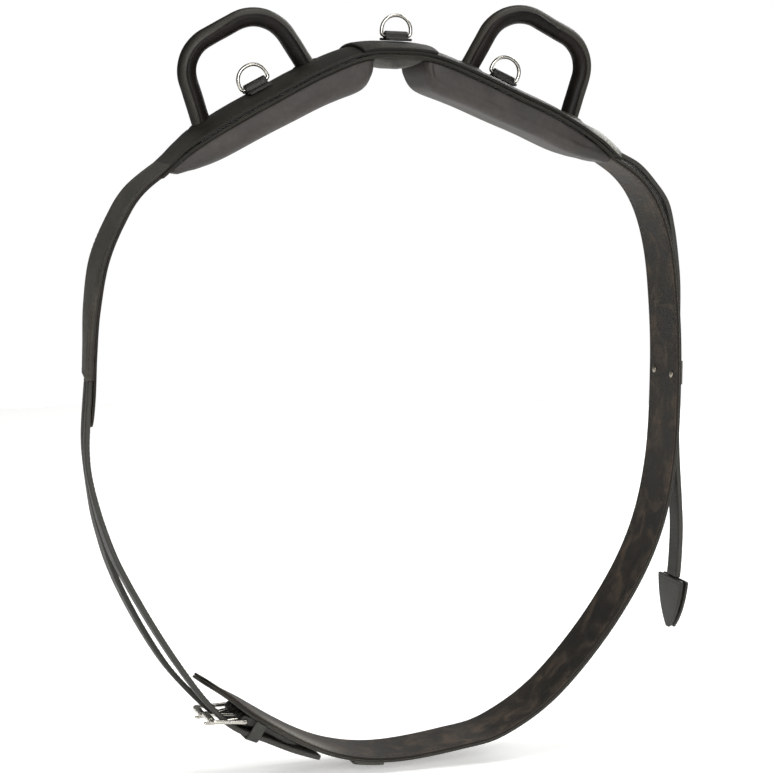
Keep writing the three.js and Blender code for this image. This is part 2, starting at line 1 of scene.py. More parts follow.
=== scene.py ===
import bmesh
import bpy
import numpy as np
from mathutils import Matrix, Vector


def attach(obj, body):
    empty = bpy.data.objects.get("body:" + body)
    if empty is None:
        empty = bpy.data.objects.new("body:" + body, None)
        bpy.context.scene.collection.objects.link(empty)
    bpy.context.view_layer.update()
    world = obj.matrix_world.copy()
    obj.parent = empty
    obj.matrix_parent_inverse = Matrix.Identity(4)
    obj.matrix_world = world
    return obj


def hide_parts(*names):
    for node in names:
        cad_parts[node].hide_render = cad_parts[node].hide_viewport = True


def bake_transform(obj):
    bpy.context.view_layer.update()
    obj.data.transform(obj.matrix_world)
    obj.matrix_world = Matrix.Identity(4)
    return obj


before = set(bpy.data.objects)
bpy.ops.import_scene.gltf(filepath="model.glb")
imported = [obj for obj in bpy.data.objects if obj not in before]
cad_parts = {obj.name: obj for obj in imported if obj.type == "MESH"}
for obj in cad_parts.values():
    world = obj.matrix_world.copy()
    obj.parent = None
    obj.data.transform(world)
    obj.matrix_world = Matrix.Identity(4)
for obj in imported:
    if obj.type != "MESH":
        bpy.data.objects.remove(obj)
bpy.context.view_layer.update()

MM = 0.001

# ==== Camera, light and floor =====================================================================
# A long lens a little above the middle of the object, from its front left. A wide soft light from the
# upper left, a weaker one from the right and a white floor that throws light back up under the straps.

azimuth, elevation = np.radians([-18.0, 8.0])
towards_camera = Vector(
    (np.sin(azimuth) * np.cos(elevation), -np.cos(azimuth) * np.cos(elevation), np.sin(elevation))
)
AIM = Vector((-0.00186, 0, -0.29325))
DISTANCE = 2.3
camera = bpy.data.objects.new("camera", bpy.data.cameras.new("camera"))
camera.data.lens = 119.04
camera.data.sensor_width = 36
camera.location = AIM + towards_camera * DISTANCE
camera.rotation_mode = "QUATERNION"
camera.rotation_quaternion = (-towards_camera).to_track_quat("-Z", "Y")
bpy.context.scene.collection.objects.link(camera)
bpy.context.scene.camera = camera
bpy.context.scene.view_settings.view_transform = "Standard"


def hex_colour(code, alpha=1.0):
    """An sRGB colour written as six hex digits, as the linear numbers that a socket takes."""
    srgb = np.array([int(code[i : i + 2], 16) for i in (1, 3, 5)]) / 255
    linear = np.where(srgb <= 0.04045, srgb / 12.92, ((srgb + 0.055) / 1.055) ** 2.4)
    return (*linear.tolist(), alpha)


def add(tree, kind, inputs=None, **settings):
    """Adds one node: its settings, then its sockets, each given a value or another node's output."""
    node = tree.nodes.new(kind)
    for name, value in settings.items():
        setattr(node, name, value)
    for name, value in (inputs or {}).items():
        if isinstance(value, bpy.types.NodeSocket):
            tree.links.new(value, node.inputs[name])
        else:
            node.inputs[name].default_value = value
    return node


world = bpy.data.worlds.new("studio")
world.use_nodes = True
world.node_tree.nodes["Background"].inputs["Color"].default_value = hex_colour("#fbfbf8")
world.node_tree.nodes["Background"].inputs["Strength"].default_value = 0.2
bpy.context.scene.world = world


def soft_light(name, place, size, power):
    """A square light of the given size in metres, turned to the middle of the object."""
    lamp = bpy.data.lights.new(name, "AREA")
    lamp.size, lamp.energy = size, power
    light = bpy.data.objects.new(name, lamp)
    light.location = place
    light.rotation_mode = "QUATERNION"
    light.rotation_quaternion = (AIM - light.location).to_track_quat("-Z", "Y")
    bpy.context.scene.collection.objects.link(light)


soft_light("front_light", Vector((-0.25, -2.5, 0.5)), 1.5, 46)
soft_light("right_light", Vector((1.9, 0.2, 1.5)), 1.0, 26)
soft_light("top_light", Vector((0.2, -0.3, 2.2)), 1.4, 34)
soft_light("back_light", Vector((1.6, 1.8, 1.0)), 1.2, 24)



def grid_faces(n, m, ring_line=False, ring=True):
    """The four-sided faces that join n outlines of m points, as point numbers. A ring joins its last point to
    its first, and a ring line its last outline to its first."""
    i, j = np.meshgrid(np.arange(n if ring_line else n - 1), np.arange(m if ring else m - 1), indexing="ij")
    k, after = (j + 1) % m, (i + 1) % n
    return np.stack([i * m + j, i * m + k, after * m + k, after * m + j], -1).reshape(-1, 4)


# The floor is a round sheet of white paper. Beyond it only the camera sees a white ground and dome, which are
# one surface turned round a vertical axis, so that the floor has no edge in any view.
FLOOR, PAPER, DOME = -0.6425, 2.3, 9.0
rise = np.linspace(0, np.pi / 2, 12)
profiles = {
    "floor": [(0.0, FLOOR), (0.8, FLOOR), (PAPER, FLOOR)],
    "backdrop": [
        (PAPER - 0.4, FLOOR - 0.001),
        (DOME, FLOOR - 0.001),
        *zip(DOME * np.cos(rise), DOME * np.sin(rise)),
    ],
}
for name, glow, shade in [("floor", 0.36, "#f6f6f4"), ("backdrop", 1.0, "#000000")]:
    out, up = np.array(profiles[name]).T
    turn = np.linspace(0, 2 * np.pi, 65)[:-1, None]
    grid = np.stack([out * np.cos(turn), out * np.sin(turn), up + 0 * turn], -1)
    n, m, _ = grid.shape
    quads = grid_faces(n, m, ring_line=True, ring=False)[:, ::-1]
    mesh = bpy.data.meshes.new(name)
    mesh.from_pydata(grid.reshape(-1, 3).tolist(), [], quads.tolist())
    stage = bpy.data.objects.new(name, mesh)
    bpy.context.scene.collection.objects.link(stage)
    paper = bpy.data.materials.new(f"white_paper_{name}")
    paper.use_nodes = True
    shader = paper.node_tree.nodes["Principled BSDF"]
    shader.inputs["Base Color"].default_value = hex_colour(shade)
    shader.inputs["Roughness"].default_value = 0.9
    shader.inputs["Specular IOR Level"].default_value = 0.0
    shader.inputs["Emission Color"].default_value = hex_colour("#ffffff")
    shader.inputs["Emission Strength"].default_value = glow
    mesh.materials.append(paper)
stage.visible_diffuse = stage.visible_glossy = stage.visible_shadow = False

# ==== Arch plate, rods, nuts and felt =============================================================
# Under the leather a bent steel plate joins the two grips: their steel rods go through it and are held by
# nuts below. Dark grey wool felt fills the panels. None of this shows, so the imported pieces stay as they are.


def steel_finish(name, shade, rough, grain):
    """Zinc-plated mild steel, rolled: grey, a little dull, with faint cloudy patches of `grain` metres."""
    metal = bpy.data.materials.new(name)
    metal.use_nodes = True
    tree = metal.node_tree
    shader = tree.nodes["Principled BSDF"]
    place = add(tree, "ShaderNodeTexCoord").outputs["Object"]
    cloud = add(tree, "ShaderNodeTexNoise", {"Vector": place, "Scale": 1 / grain, "Detail": 5.0})
    spread = add(
        tree,
        "ShaderNodeMapRange",
        {"Value": cloud.outputs["Fac"], "To Min": rough - 0.08, "To Max": rough + 0.1},
    )
    dull = np.array(hex_colour(shade)) * (0.72, 0.72, 0.72, 1)
    ramp = add(tree, "ShaderNodeValToRGB", {"Fac": cloud.outputs["Fac"]})
    ramp.color_ramp.elements[0].position, ramp.color_ramp.elements[1].position = 0.3, 0.7
    ramp.color_ramp.elements[0].color, ramp.color_ramp.elements[1].color = dull.tolist(), hex_colour(shade)
    bump = add(tree, "ShaderNodeBump", {"Height": cloud.outputs["Fac"], "Distance": 0.00004, "Strength": 0.4})
    tree.links.new(ramp.outputs["Color"], shader.inputs["Base Color"])
    tree.links.new(spread.outputs["Result"], shader.inputs["Roughness"])
    tree.links.new(bump.outputs["Normal"], shader.inputs["Normal"])
    shader.inputs["Metallic"].default_value = 1.0
    return metal


plated_steel = steel_finish("zinc_plated_steel", "#8c8f92", 0.42, 0.006)

felt = bpy.data.materials.new("pressed_wool_felt")
felt.use_nodes = True
tree = felt.node_tree
place = add(tree, "ShaderNodeTexCoord").outputs["Object"]
fibre = add(tree, "ShaderNodeTexNoise", {"Vector": place, "Scale": 900.0, "Detail": 6.0})  # 1 mm tufts
ramp = add(tree, "ShaderNodeValToRGB", {"Fac": fibre.outputs["Fac"]})
ramp.color_ramp.elements[0].color = hex_colour("#2b2926")
ramp.color_ramp.elements[1].color = hex_colour("#49453d")
bump = add(tree, "ShaderNodeBump", {"Height": fibre.outputs["Fac"], "Distance": 0.0006})
shader = tree.nodes["Principled BSDF"]
tree.links.new(ramp.outputs["Color"], shader.inputs["Base Color"])
tree.links.new(bump.outputs["Normal"], shader.inputs["Normal"])
shader.inputs["Roughness"].default_value = 1.0


def refinish(node, material):
    """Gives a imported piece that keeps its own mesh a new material."""
    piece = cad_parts[node]
    piece.data.materials.clear()
    piece.data.materials.append(material)


refinish("steel_arch_plate", plated_steel)
for side in ("left", "right"):
    refinish(f"{side}_handle_core", plated_steel)
    refinish(f"{side}_inner_handle_nut", plated_steel)
    refinish(f"{side}_outer_handle_nut", plated_steel)
    refinish(f"{side}_filler", felt)

# ==== Top panels ==================================================================================
# Two shaped pieces of 3 mm saddle leather, bowed over the felt, dark olive brown. Their edges are turned over
# the welt and sewn down; the leather stands up a little round the foot of each grip.


class Route:
    """A smooth line in the XZ plane through the points, in mm, measured by its own length.

    Between two points it is the uniform Catmull-Rom cubic, with the end points doubled. at(s, h, y) is the
    point s along from the zero, h outwards along the line's left-hand normal, and y across. A twisted strap
    leans: each mm towards the tail takes it lean(s, z) mm inwards.
    """

    def __init__(self, points, zero=0.0, lean=None, steps=60):
        p = np.array(points, float)
        p = np.vstack([p[:1], p, p[-1:]])
        t = np.linspace(0, 1, steps, endpoint=False)[:, None]
        a, b, c, d = p[:-3, None], p[1:-2, None], p[2:-1, None], p[3:, None]
        v0, v1 = (c - a) / 2, (d - b) / 2
        cubic = (2 * b - 2 * c + v0 + v1) * t**3 + (-3 * b + 3 * c - 2 * v0 - v1) * t**2 + v0 * t + b
        self.line = np.vstack([cubic.reshape(-1, 2), p[-1:]])
        step = np.gradient(self.line, axis=0)
        self.along = step / np.linalg.norm(step, axis=1, keepdims=True)
        pieces = np.linalg.norm(np.diff(self.line, axis=0), axis=1)
        self.length = pieces.sum()
        self.s = np.concatenate([[0], np.cumsum(pieces)]) - zero * self.length
        self.lean = lean

    def at(self, s, h=0.0, y=0.0):
        s, h, y = np.broadcast_arrays(np.asarray(s, float), h, y)
        beyond = s - np.clip(s, self.s[0], self.s[-1])  # past its ends the line goes straight on
        tx, tz = (np.interp(s, self.s, self.along[:, i]) for i in (0, 1))
        x = np.interp(s, self.s, self.line[:, 0]) + beyond * tx
        z = np.interp(s, self.s, self.line[:, 1]) + beyond * tz
        out = h - self.lean(s, z) * y if self.lean else h
        return np.stack([x - tz * out, y, z + tx * out], -1)

    def placed(self, s, h, local):
        """Points given as along, across and out from the point (s, h), on the flat that touches it there."""
        t = self.at(s + 0.5) - self.at(s - 0.5)
        t /= np.linalg.norm(t)
        n = np.array([-t[2], 0, t[0]])
        along, across, outwards = np.moveaxis(np.asarray(local, float), -1, 0)[..., None]
        return self.at(s, h) + along * t + across * np.array([0, 1.0, 0]) + outwards * n


def smooth(x, start, stop):
    """0 before start, 1 after stop, and 3t2 - 2t3 between."""
    t = np.clip((x - start) / (stop - start), 0, 1)
    return t * t * (3 - 2 * t)


def skin(
    name, rings, material, body="surcingle", slot="strap_leather", replaces=(), ring_line=False, **marks
):
    """A closed surface from outlines: outline i is joined to outline i + 1 with four-sided faces, and the
    first and last are closed, or joined to each other in a ring line. Each mark is a number at every
    point."""
    n, m, _ = rings.shape
    faces = grid_faces(n, m, ring_line).tolist()
    if not ring_line:
        faces += [list(range(m)), list(range((n - 1) * m, n * m))]
    mesh = bpy.data.meshes.new(name)
    mesh.from_pydata((rings.reshape(-1, 3) * MM).tolist(), [], faces)
    for mark, value in marks.items():
        layer = mesh.attributes.new(mark, "FLOAT", "POINT")
        layer.data.foreach_set("value", np.broadcast_to(value, (n, m)).astype(np.float32).ravel())
    return finished(name, mesh, material, body, replaces)


SHARP = np.radians(42)  # faces that meet at more than this show an edge


def turn_outwards(mesh):
    """Recalculates the normals of closed surfaces, so that every face points out."""
    shell = bmesh.new()
    shell.from_mesh(mesh)
    bmesh.ops.recalc_face_normals(shell, faces=shell.faces)
    shell.to_mesh(mesh)
    shell.free()


def finished(name, mesh, material, body, replaces=()):
    """Turns the faces outwards, shades them, links the piece, hangs it on its body and hides what it replaces.
    """
    turn_outwards(mesh)
    mesh.shade_smooth()
    mesh.set_sharp_from_angle(angle=SHARP)
    mesh.materials.append(material)
    piece = bpy.data.objects.new(name, mesh)
    bpy.context.scene.collection.objects.link(piece)
    if body:
        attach(piece, body)
    if replaces:
        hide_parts(*replaces)
    return piece


EDGE_STEPS = 4
THINNEST = 0.02  # the least radius of an edge, in mm
EDGES = [(-1, "front"), (1, "rear")]  # every strap's two edges, towards the horse's head and tail


def ply(half, low, high, edge, crown=0.0, across=12):
    """The outline of a leather strap as [across, out]: a bar whose four edges are rounded by `edge`, raised
    by crown times 1 - (across / half) squared. Every size is a number or a row of numbers, one for each
    station."""
    sizes = (half, low, high, edge, crown)
    half, low, high, edge, crown = (np.atleast_1d(v)[:, None].astype(float) for v in sizes)
    quarter = np.linspace(0, np.pi / 2, EDGE_STEPS)[None]
    v = np.linspace(1, -1, across + 1)[None, 1:-1]
    corners = [
        ((half - edge) * sy + edge * np.cos(quarter + q), mid + edge * np.sin(quarter + q))
        for sy, mid, q in [
            (1, low + edge, -np.pi / 2),
            (1, high - edge, 0),
            (-1, high - edge, np.pi / 2),
            (-1, low + edge, np.pi),
        ]
    ]
    flat_top = ((half - edge) * v, high + 0 * v * half)
    flat_low = ((half - edge) * -v, low + 0 * v * half)
    order = [corners[0], corners[1], flat_top, corners[2], corners[3], flat_low]
    rows = max(np.shape(c[i])[0] for c in order for i in (0, 1))
    y, h = (np.hstack([np.broadcast_to(c[i], (rows, np.shape(c[i])[1])) for c in order]) for i in (0, 1))
    return np.stack([y, h + crown * (1 - (y / half) ** 2)], -1)


def edge_mark(across=12):
    """1 on a ply's cut edge, falling to 0 on its two faces."""
    up = np.linspace(0, 1, EDGE_STEPS)
    flat = np.zeros(across - 1)
    return np.concatenate([up, up[::-1], flat, up, up[::-1], flat])


def stations(start, stop, steps, edge):
    """Distances from start to stop, and the inset at each: both ends are quarter circles of radius `edge`."""
    a = np.linspace(0, np.pi / 2, EDGE_STEPS)
    ends = edge * (1 - np.cos(a))
    middle = np.linspace(start + edge, stop - edge, steps + 1)[1:-1]
    s = np.concatenate([start + ends, middle, (stop - ends)[::-1]])
    inset = edge * (1 - np.sin(a))
    return s, np.concatenate([inset, np.zeros(len(middle)), inset[::-1]])


def strap(path, start, stop, steps, half, low, high, edge=0.8, crown=0.0, across=12):
    """A ply of leather along a path. half, low, high and crown are numbers or functions of the distance."""
    s, inset = stations(start, stop, steps, edge)
    sizes = (half, low, high, crown)
    half, low, high, crown = (np.broadcast_to(v(s) if callable(v) else v, s.shape) for v in sizes)
    corner = np.maximum(edge - inset, THINNEST)
    outline = ply(half - inset, low + inset, high - inset, corner, crown, across)
    return path.at(s[:, None], outline[..., 1], outline[..., 0])


def leather(name, deep, light, cut_edge, rough, grain, relief, patches, warm=None, shine=0.4):
    """Dyed and waxed cowhide, grain side out.

    The dye takes unevenly, so two tones run into each other in patches tens of mm across. The grain is small
    cells between creases, each `grain` mm across and `relief` mm deep, crossed by fine wrinkles. The cut
    edge is painted darker, with a thin worn line beside it. A marked part is mixed towards pale grey and made
    smoother: a painted highlight on the panel ends, a painted sheen beside the grips' lap, and real wear on the
    girth's inner face.
    """
    hide = bpy.data.materials.new(name)
    hide.use_nodes = True
    tree = hide.node_tree
    shader = tree.nodes["Principled BSDF"]
    place = add(tree, "ShaderNodeTexCoord").outputs["Object"]
    dye = add(
        tree,
        "ShaderNodeTexNoise",
        {"Vector": place, "Scale": 1000 / patches, "Detail": 4.0, "Roughness": 0.55, "Distortion": 0.8},
    ).outputs["Fac"]
    tone = add(tree, "ShaderNodeValToRGB", {"Fac": dye})
    stops = tone.color_ramp.elements
    stops[0].position, stops[1].position = 0.34, 0.68
    stops[0].color, stops[1].color = hex_colour(deep), hex_colour(light)
    if warm:
        between = stops.new(0.5)
        between.color = hex_colour(warm)
    fine = add(tree, "ShaderNodeTexNoise", {"Vector": place, "Scale": 240.0, "Detail": 6.0, "Roughness": 0.6})
    speck = add(
        tree,
        "ShaderNodeMapRange",
        {"Value": fine.outputs["Fac"], "From Min": 0.3, "From Max": 0.7, "To Min": 0.84, "To Max": 1.14},
    )
    shaded = add(
        tree,
        "ShaderNodeVectorMath",
        {0: tone.outputs["Color"], 1: speck.outputs["Result"]},
        operation="MULTIPLY",
    )
    # in a Mix of colours, sockets 0, 6 and 7 are the share and the two colours, and output 2 is the result
    # the marked share is mixed towards pale grey: a painted highlight and sheen on panels and grips, real wear
    # on the girth
    rub = add(tree, "ShaderNodeAttribute", attribute_name="rubbed").outputs["Fac"]
    blend = {0: rub, 6: shaded.outputs["Vector"], 7: hex_colour("#75736a")}
    tinted = add(tree, "ShaderNodeMix", blend, data_type="RGBA").outputs[2]
    edge = add(tree, "ShaderNodeAttribute", attribute_name="edge").outputs["Fac"]
    worn = add(tree, "ShaderNodeValToRGB", {"Fac": edge})
    ends = worn.color_ramp.elements
    ends[0].position, ends[1].position = 0.08, 0.75
    ends[0].color, ends[1].color = (0, 0, 0, 1), (0, 0, 0, 1)
    line = ends.new(0.34)
    line.color = (0.7, 0.7, 0.7, 1)
    blend = {0: worn.outputs["Color"], 6: tinted, 7: hex_colour(light)}
    lined = add(tree, "ShaderNodeMix", blend, data_type="RGBA").outputs[2]
    paint = add(tree, "ShaderNodeMapRange", {"Value": edge, "From Min": 0.4, "From Max": 0.9})
    blend = {0: paint.outputs["Result"], 6: lined, 7: hex_colour(cut_edge)}
    painted = add(tree, "ShaderNodeMix", blend, data_type="RGBA")
    tree.links.new(painted.outputs[2], shader.inputs["Base Color"])

    low, high = rough
    gloss = add(
        tree,
        "ShaderNodeMapRange",
        {"Value": dye, "From Min": 0.3, "From Max": 0.7, "To Min": low, "To Max": high},
    )
    smoother = add(tree, "ShaderNodeMath", {0: rub, 1: -0.16}, operation="MULTIPLY")
    rough_sum = add(
        tree,
        "ShaderNodeMath",
        {0: gloss.outputs["Result"], 1: smoother.outputs["Value"]},
        operation="ADD",
    )
    tree.links.new(rough_sum.outputs["Value"], shader.inputs["Roughness"])
    shader.inputs["IOR"].default_value = 1.48
    shader.inputs["Specular IOR Level"].default_value = shine

    cells = add(
        tree,
        "ShaderNodeTexVoronoi",
        {"Vector": place, "Scale": 1000 / grain, "Randomness": 1.0},
        feature="DISTANCE_TO_EDGE",
    )
    creases = add(tree, "ShaderNodeMapRange", {"Value": cells.outputs["Distance"], "From Max": 0.25})
    wrinkle = add(
        tree,
        "ShaderNodeTexNoise",
        {"Vector": place, "Scale": 110.0, "Detail": 5.0, "Distortion": 1.5},
    )
    first = add(
        tree,
        "ShaderNodeBump",
        {"Height": wrinkle.outputs["Fac"], "Distance": relief * 4 * MM, "Strength": 0.6},
    )
    second = add(
        tree,
        "ShaderNodeBump",
        {
            "Height": creases.outputs["Result"],
            "Distance": relief * MM,
            "Strength": 0.8,
            "Normal": first.outputs["Normal"],
        },
    )
    tree.links.new(second.outputs["Normal"], shader.inputs["Normal"])
    return hide


panel_leather = leather(
    "waxed_saddle_leather", "#181713", "#28271f", "#11100d", (0.5, 0.66), 1.6, 0.1, 42, "#1e1c16", shine=0.24
)

CREST = [
    (-214, -94), (-189, -73), (-150, -49), (-112, -29), (-74, -10), (-34, 4.8), (0, 6.5), (34, 2.5),
    (74, -13), (112, -30.5), (150, -48), (189, -71), (214, -94),
]
crest = Route(CREST, zero=0.5)
PANEL_END = 236
PANEL_SEAM = 4.2  # from the top's edge to its line of stitches
CROWN = 5.5  # how far the top leathers bow up in the middle
END_CROWN = 10.4  # and at the right panel's end, over the outer strap
FEET = (77, 183.5)  # the grips' feet, from the middle


def panel_half(s):
    """Half the width of the top: 38.5 mm, drawn in smoothly by 6 mm towards the ends."""
    return 38.5 - 6 * smooth(np.abs(s), 150, 226)


def panel_crown(s, end):
    return CROWN + (end - CROWN) * smooth(np.abs(s), 165, 234)


def panel_lift(s):
    """The end of each panel rides up a little over the band that is sewn in under it."""
    return 0.7 * smooth(np.abs(s), 200, 216)


def panel_top(s, y, end):
    """Height of the panel's face: lift, plus crown times 1 - (y / half) squared."""
    return panel_lift(s) + panel_crown(s, end) * (1 - (y / panel_half(s)) ** 2)


for side, name, end in [(-1, "left", CROWN), (1, "right", END_CROWN)]:
    s, inset = stations(0.05, PANEL_END, 150, 0.5)
    inset = np.where(s < 5, 0, inset)  # the two panels are butted and sewn together under the gullet cover
    # the left panel is pared down to the flap's width and laid on it, so that the two run into each other
    pared = smooth(s, 192, 226) if side < 0 else 0 * s
    top = panel_lift(s) * (1 - pared) - 2.3 * pared
    outline = ply(
        panel_half(s) - inset - 1.2 * pared, top - 3 + 2.1 * pared + inset * (1 - 0.6 * pared),
        top - inset * (1 - 0.6 * pared), np.maximum(1.1 - 0.75 * pared - inset, THINNEST),
        panel_crown(s, end) * (1 - 0.97 * pared), 44,
    )
    along, y = s[:, None] + 0 * outline[..., 0], outline[..., 0]
    # the leather stands up like a low collar round each foot, and dips just outside the collar
    for foot in FEET:
        away = np.hypot(along - foot, y)
        dip = 0.5 * np.exp(-(((away - 17) / 5) ** 2))
        outline[..., 1] += 1.5 * np.exp(-(((away - 9.5) / 3.2) ** 2)) - dip
    # a slight fall between the line of stitches and the edge, over the cord in the welt
    outline[..., 1] -= 0.45 * np.exp(-(((np.abs(y) - panel_half(along) + PANEL_SEAM) / 0.9) ** 2))
    rings = crest.at(side * along, outline[..., 1], y)
    skin(
        f"{name}_panel", rings, panel_leather, slot="top_leather", replaces=[f"{name}_top_panel"],
        edge=edge_mark(44)[None],
        # the paler, smoother stretch near each end is a painted highlight: strong on the right panel, faint on
        # the left
        rubbed=smooth(along, 188, 214) * (1 - smooth(along, 228, 236)) * (0.9 if side > 0 else 0.15),
    )

# Linen thread, waxed, in a saddle stitch: short lozenges that dip into their holes at both ends.


def waxed_thread(name, shade):
    """Waxed linen: matt, a little darker in small random patches, with the twist of its strands as a fine wave.
    """
    thread = bpy.data.materials.new(name)
    thread.use_nodes = True
    tree = thread.node_tree
    shader = tree.nodes["Principled BSDF"]
    place = add(tree, "ShaderNodeTexCoord").outputs["Object"]
    lay = add(tree, "ShaderNodeTexNoise", {"Vector": place, "Scale": 700.0, "Detail": 2.0}).outputs["Fac"]
    tone = add(tree, "ShaderNodeValToRGB", {"Fac": lay})
    dark = np.array(hex_colour(shade)) * (0.55, 0.55, 0.55, 1)
    tone.color_ramp.elements[0].color, tone.color_ramp.elements[1].color = dark.tolist(), hex_colour(shade)
    bump = add(tree, "ShaderNodeBump", {"Height": lay, "Distance": 0.0001, "Strength": 0.5})
    tree.links.new(tone.outputs["Color"], shader.inputs["Base Color"])
    tree.links.new(bump.outputs["Normal"], shader.inputs["Normal"])
    shader.inputs["Roughness"].default_value = 0.7
    return thread


dark_thread = waxed_thread("waxed_linen_thread_brown", "#2b2925")
pale_thread = waxed_thread("waxed_linen_thread_natural", "#b9b3a4")


def stitches(
    name, place, start, stop, material, pitch=4.4, length=3.1, body="surcingle", slot="strap_leather"
):
    """A row of stitches. place(s, out, across) gives points in mm; each stitch is a spindle of 5 outlines of
    6 points, 0.9 mm wide and 0.6 mm high, sunk a little over half into the leather."""
    count = max(1, int(abs(stop - start) / pitch))
    middle = start + (np.arange(count) + 0.5) * (stop - start) / count
    u = np.array([-1, -0.75, 0, 0.75, 1])
    fat = np.array([0.25, 0.8, 1, 0.8, 0.25])
    turn = np.linspace(0, 2 * np.pi, 7)[:-1]
    along = (middle[:, None, None] + length / 2 * u[None, :, None]) + 0 * turn[None, None]
    across = 0.45 * fat[None, :, None] * np.cos(turn)[None, None] + 0 * along
    high = 0.3 * fat[None, :, None] * np.sin(turn)[None, None]
    outwards = high - 0.24 * np.abs(u[None, :, None]) + 0.02 + 0 * along
    points = place(along, outwards, across)
    quads = (grid_faces(5, 6)[None] + 30 * np.arange(count)[:, None, None]).reshape(-1, 4).tolist()
    caps = np.stack([np.arange(6)[::-1], 24 + np.arange(6)])[None] + 30 * np.arange(count)[:, None, None]
    mesh = bpy.data.meshes.new(name)
    mesh.from_pydata((points.reshape(-1, 3) * MM).tolist(), [], quads + caps.reshape(-1, 6).tolist())
    return finished(name, mesh, material, body)


for side, name, end, last in [(-1, "left", CROWN, 174), (1, "right", END_CROWN, 231)]:
    for across, row in EDGES:

        def panel_line(s, out, y):
            seam = across * (panel_half(s) - PANEL_SEAM)
            return crest.at(side * s, panel_top(s, seam, end) + out - 0.3, seam + y)

        stitches(f"{name}_panel_{row}_stitching", panel_line, 36, last, dark_thread, slot="top_leather")

# ==== Welts =======================================================================================
# A cord in a narrow strip of the same leather, sewn in all along between each edge of the top and the pads,
# and carried on under the gullet cover.

for side, name in EDGES:
    s = np.linspace(-245, 233, 280)[:, None]
    turn = np.linspace(0, 2 * np.pi, 13)[:-1][None]
    taper = np.sqrt(np.clip(1 - ((np.abs(s + 6) - 236) / 3.2).clip(0) ** 2, 0.02, 1))
    radius = 1.6 * taper * (1 + 0.02 * np.sin(s * 2 * np.pi / 5))
    edge = side * np.maximum(panel_half(s) - 0.6, 32.9)
    rings = crest.at(s, -4.9 + radius * np.sin(turn), edge + radius * np.cos(turn))
    skin(f"{name}_piping", rings, panel_leather, slot="top_leather", replaces=[f"{name}_welt"])

# ==== Gullet cover and lining =====================================================================
# A strap of the same leather lies over the gullet and both panels' inner ends, sewn down along its four
# sides. Below it a soft lining is gathered into the arch, with small pleats that run to its middle.

COVER_END, COVER_HALF, COVER_FACE = 34, 38.2, 2.9
rings = strap(crest, -COVER_END, COVER_END, 60, COVER_HALF, 0.3, COVER_FACE, edge=0.9, crown=CROWN, across=44)
skin(
    "gullet_strap", rings, panel_leather, slot="top_leather", replaces=["gullet_cover"],
    edge=edge_mark(44)[None],
)


def cover_top(y):
    """Height of the cover's face: its edge, plus the crown times 1 - (y / half) squared."""
    return COVER_FACE + CROWN * (1 - (y / COVER_HALF) ** 2)


for across, row in EDGES:
    seam = across * (COVER_HALF - 4)
    line = lambda s, out, y: crest.at(s, cover_top(seam) + out, seam + y)
    stitches(f"gullet_{row}_stitching", line, -30, 30, dark_thread, slot="top_leather")
for end, row in [(-1, "left"), (1, "right")]:
    line = lambda y, out, along: crest.at(end * (COVER_END - 3.5) + along, cover_top(y) + out, y)
    stitches(f"gullet_{row}_stitching", line, -31, 31, dark_thread, slot="top_leather")

lining_leather = leather("soft_lining_leather", "#2f2d29", "#4c4a44", "#2a2723", (0.55, 0.7), 1.2, 0.14, 16)
LINING_END, LINING_HALF, LINING_SEAT = 23, 31, -6.95
s, inset = stations(-LINING_END, LINING_END, 90, 1.0)
depth = 1.5 + 7.5 * (1 - (s / 24) ** 2)
turn = np.linspace(0, np.pi, 61)
# half an ellipse below the seat; the pleats are folds that fan out from the middle of both edges
y = (LINING_HALF - inset)[:, None] * np.sign(np.cos(turn)) * np.abs(np.cos(turn)) ** 0.35
fold = 0.55 * np.sin(s[:, None] * 1.1 + 0.9 * np.sin(y * 0.35)) * np.exp(-((s[:, None] / 11) ** 2))
fold = fold * smooth(np.abs(y), 14, LINING_HALF) + 0.3 * np.sin(y * 0.6 + s[:, None] * 0.25)
seat = LINING_SEAT - inset[:, None]
h = seat - (np.maximum(depth - 2 * inset, 0.2)[:, None] + fold * 0.6) * np.sin(turn) ** 0.6
lift_edge = lambda y: 0.9 * smooth(np.abs(y), 26, 30)  # up against the welts, outside the plate
top_y = (LINING_HALF - inset)[:, None] * np.linspace(-0.9, 0.9, 8)
rings = crest.at(s[:, None], np.hstack([h + lift_edge(y), seat + lift_edge(top_y)]), np.hstack([y, top_y]))
skin("gathered_gullet_lining", rings, lining_leather, replaces=["gullet_lining"])

# ==== Panel pads ==================================================================================
# Two long cushions of leather stuffed hard with wool that lie either side of the horse's spine. Each is a
# closed crowned form, deep at the gullet and thinning outwards. The right one shows its side set in by a
# boxing seam.

pad_leather = leather(
    "matt_panel_leather", "#2d2b28", "#403d39", "#1d1a18", (0.5, 0.64), 1.3, 0.08, 55, "#373230"
)
PAD_START = 24
PAD_DEPTH = [
    (PAD_START, 14), (29, 21), (37, 28.5), (50, 31.5), (76, 30.5), (125, 29), (179, 27), (205, 22), (217, 17),
    (229, 11),
]
depth_line = Route(PAD_DEPTH).line
SEAT, STRAP_SEAT = -6.85, -9.4

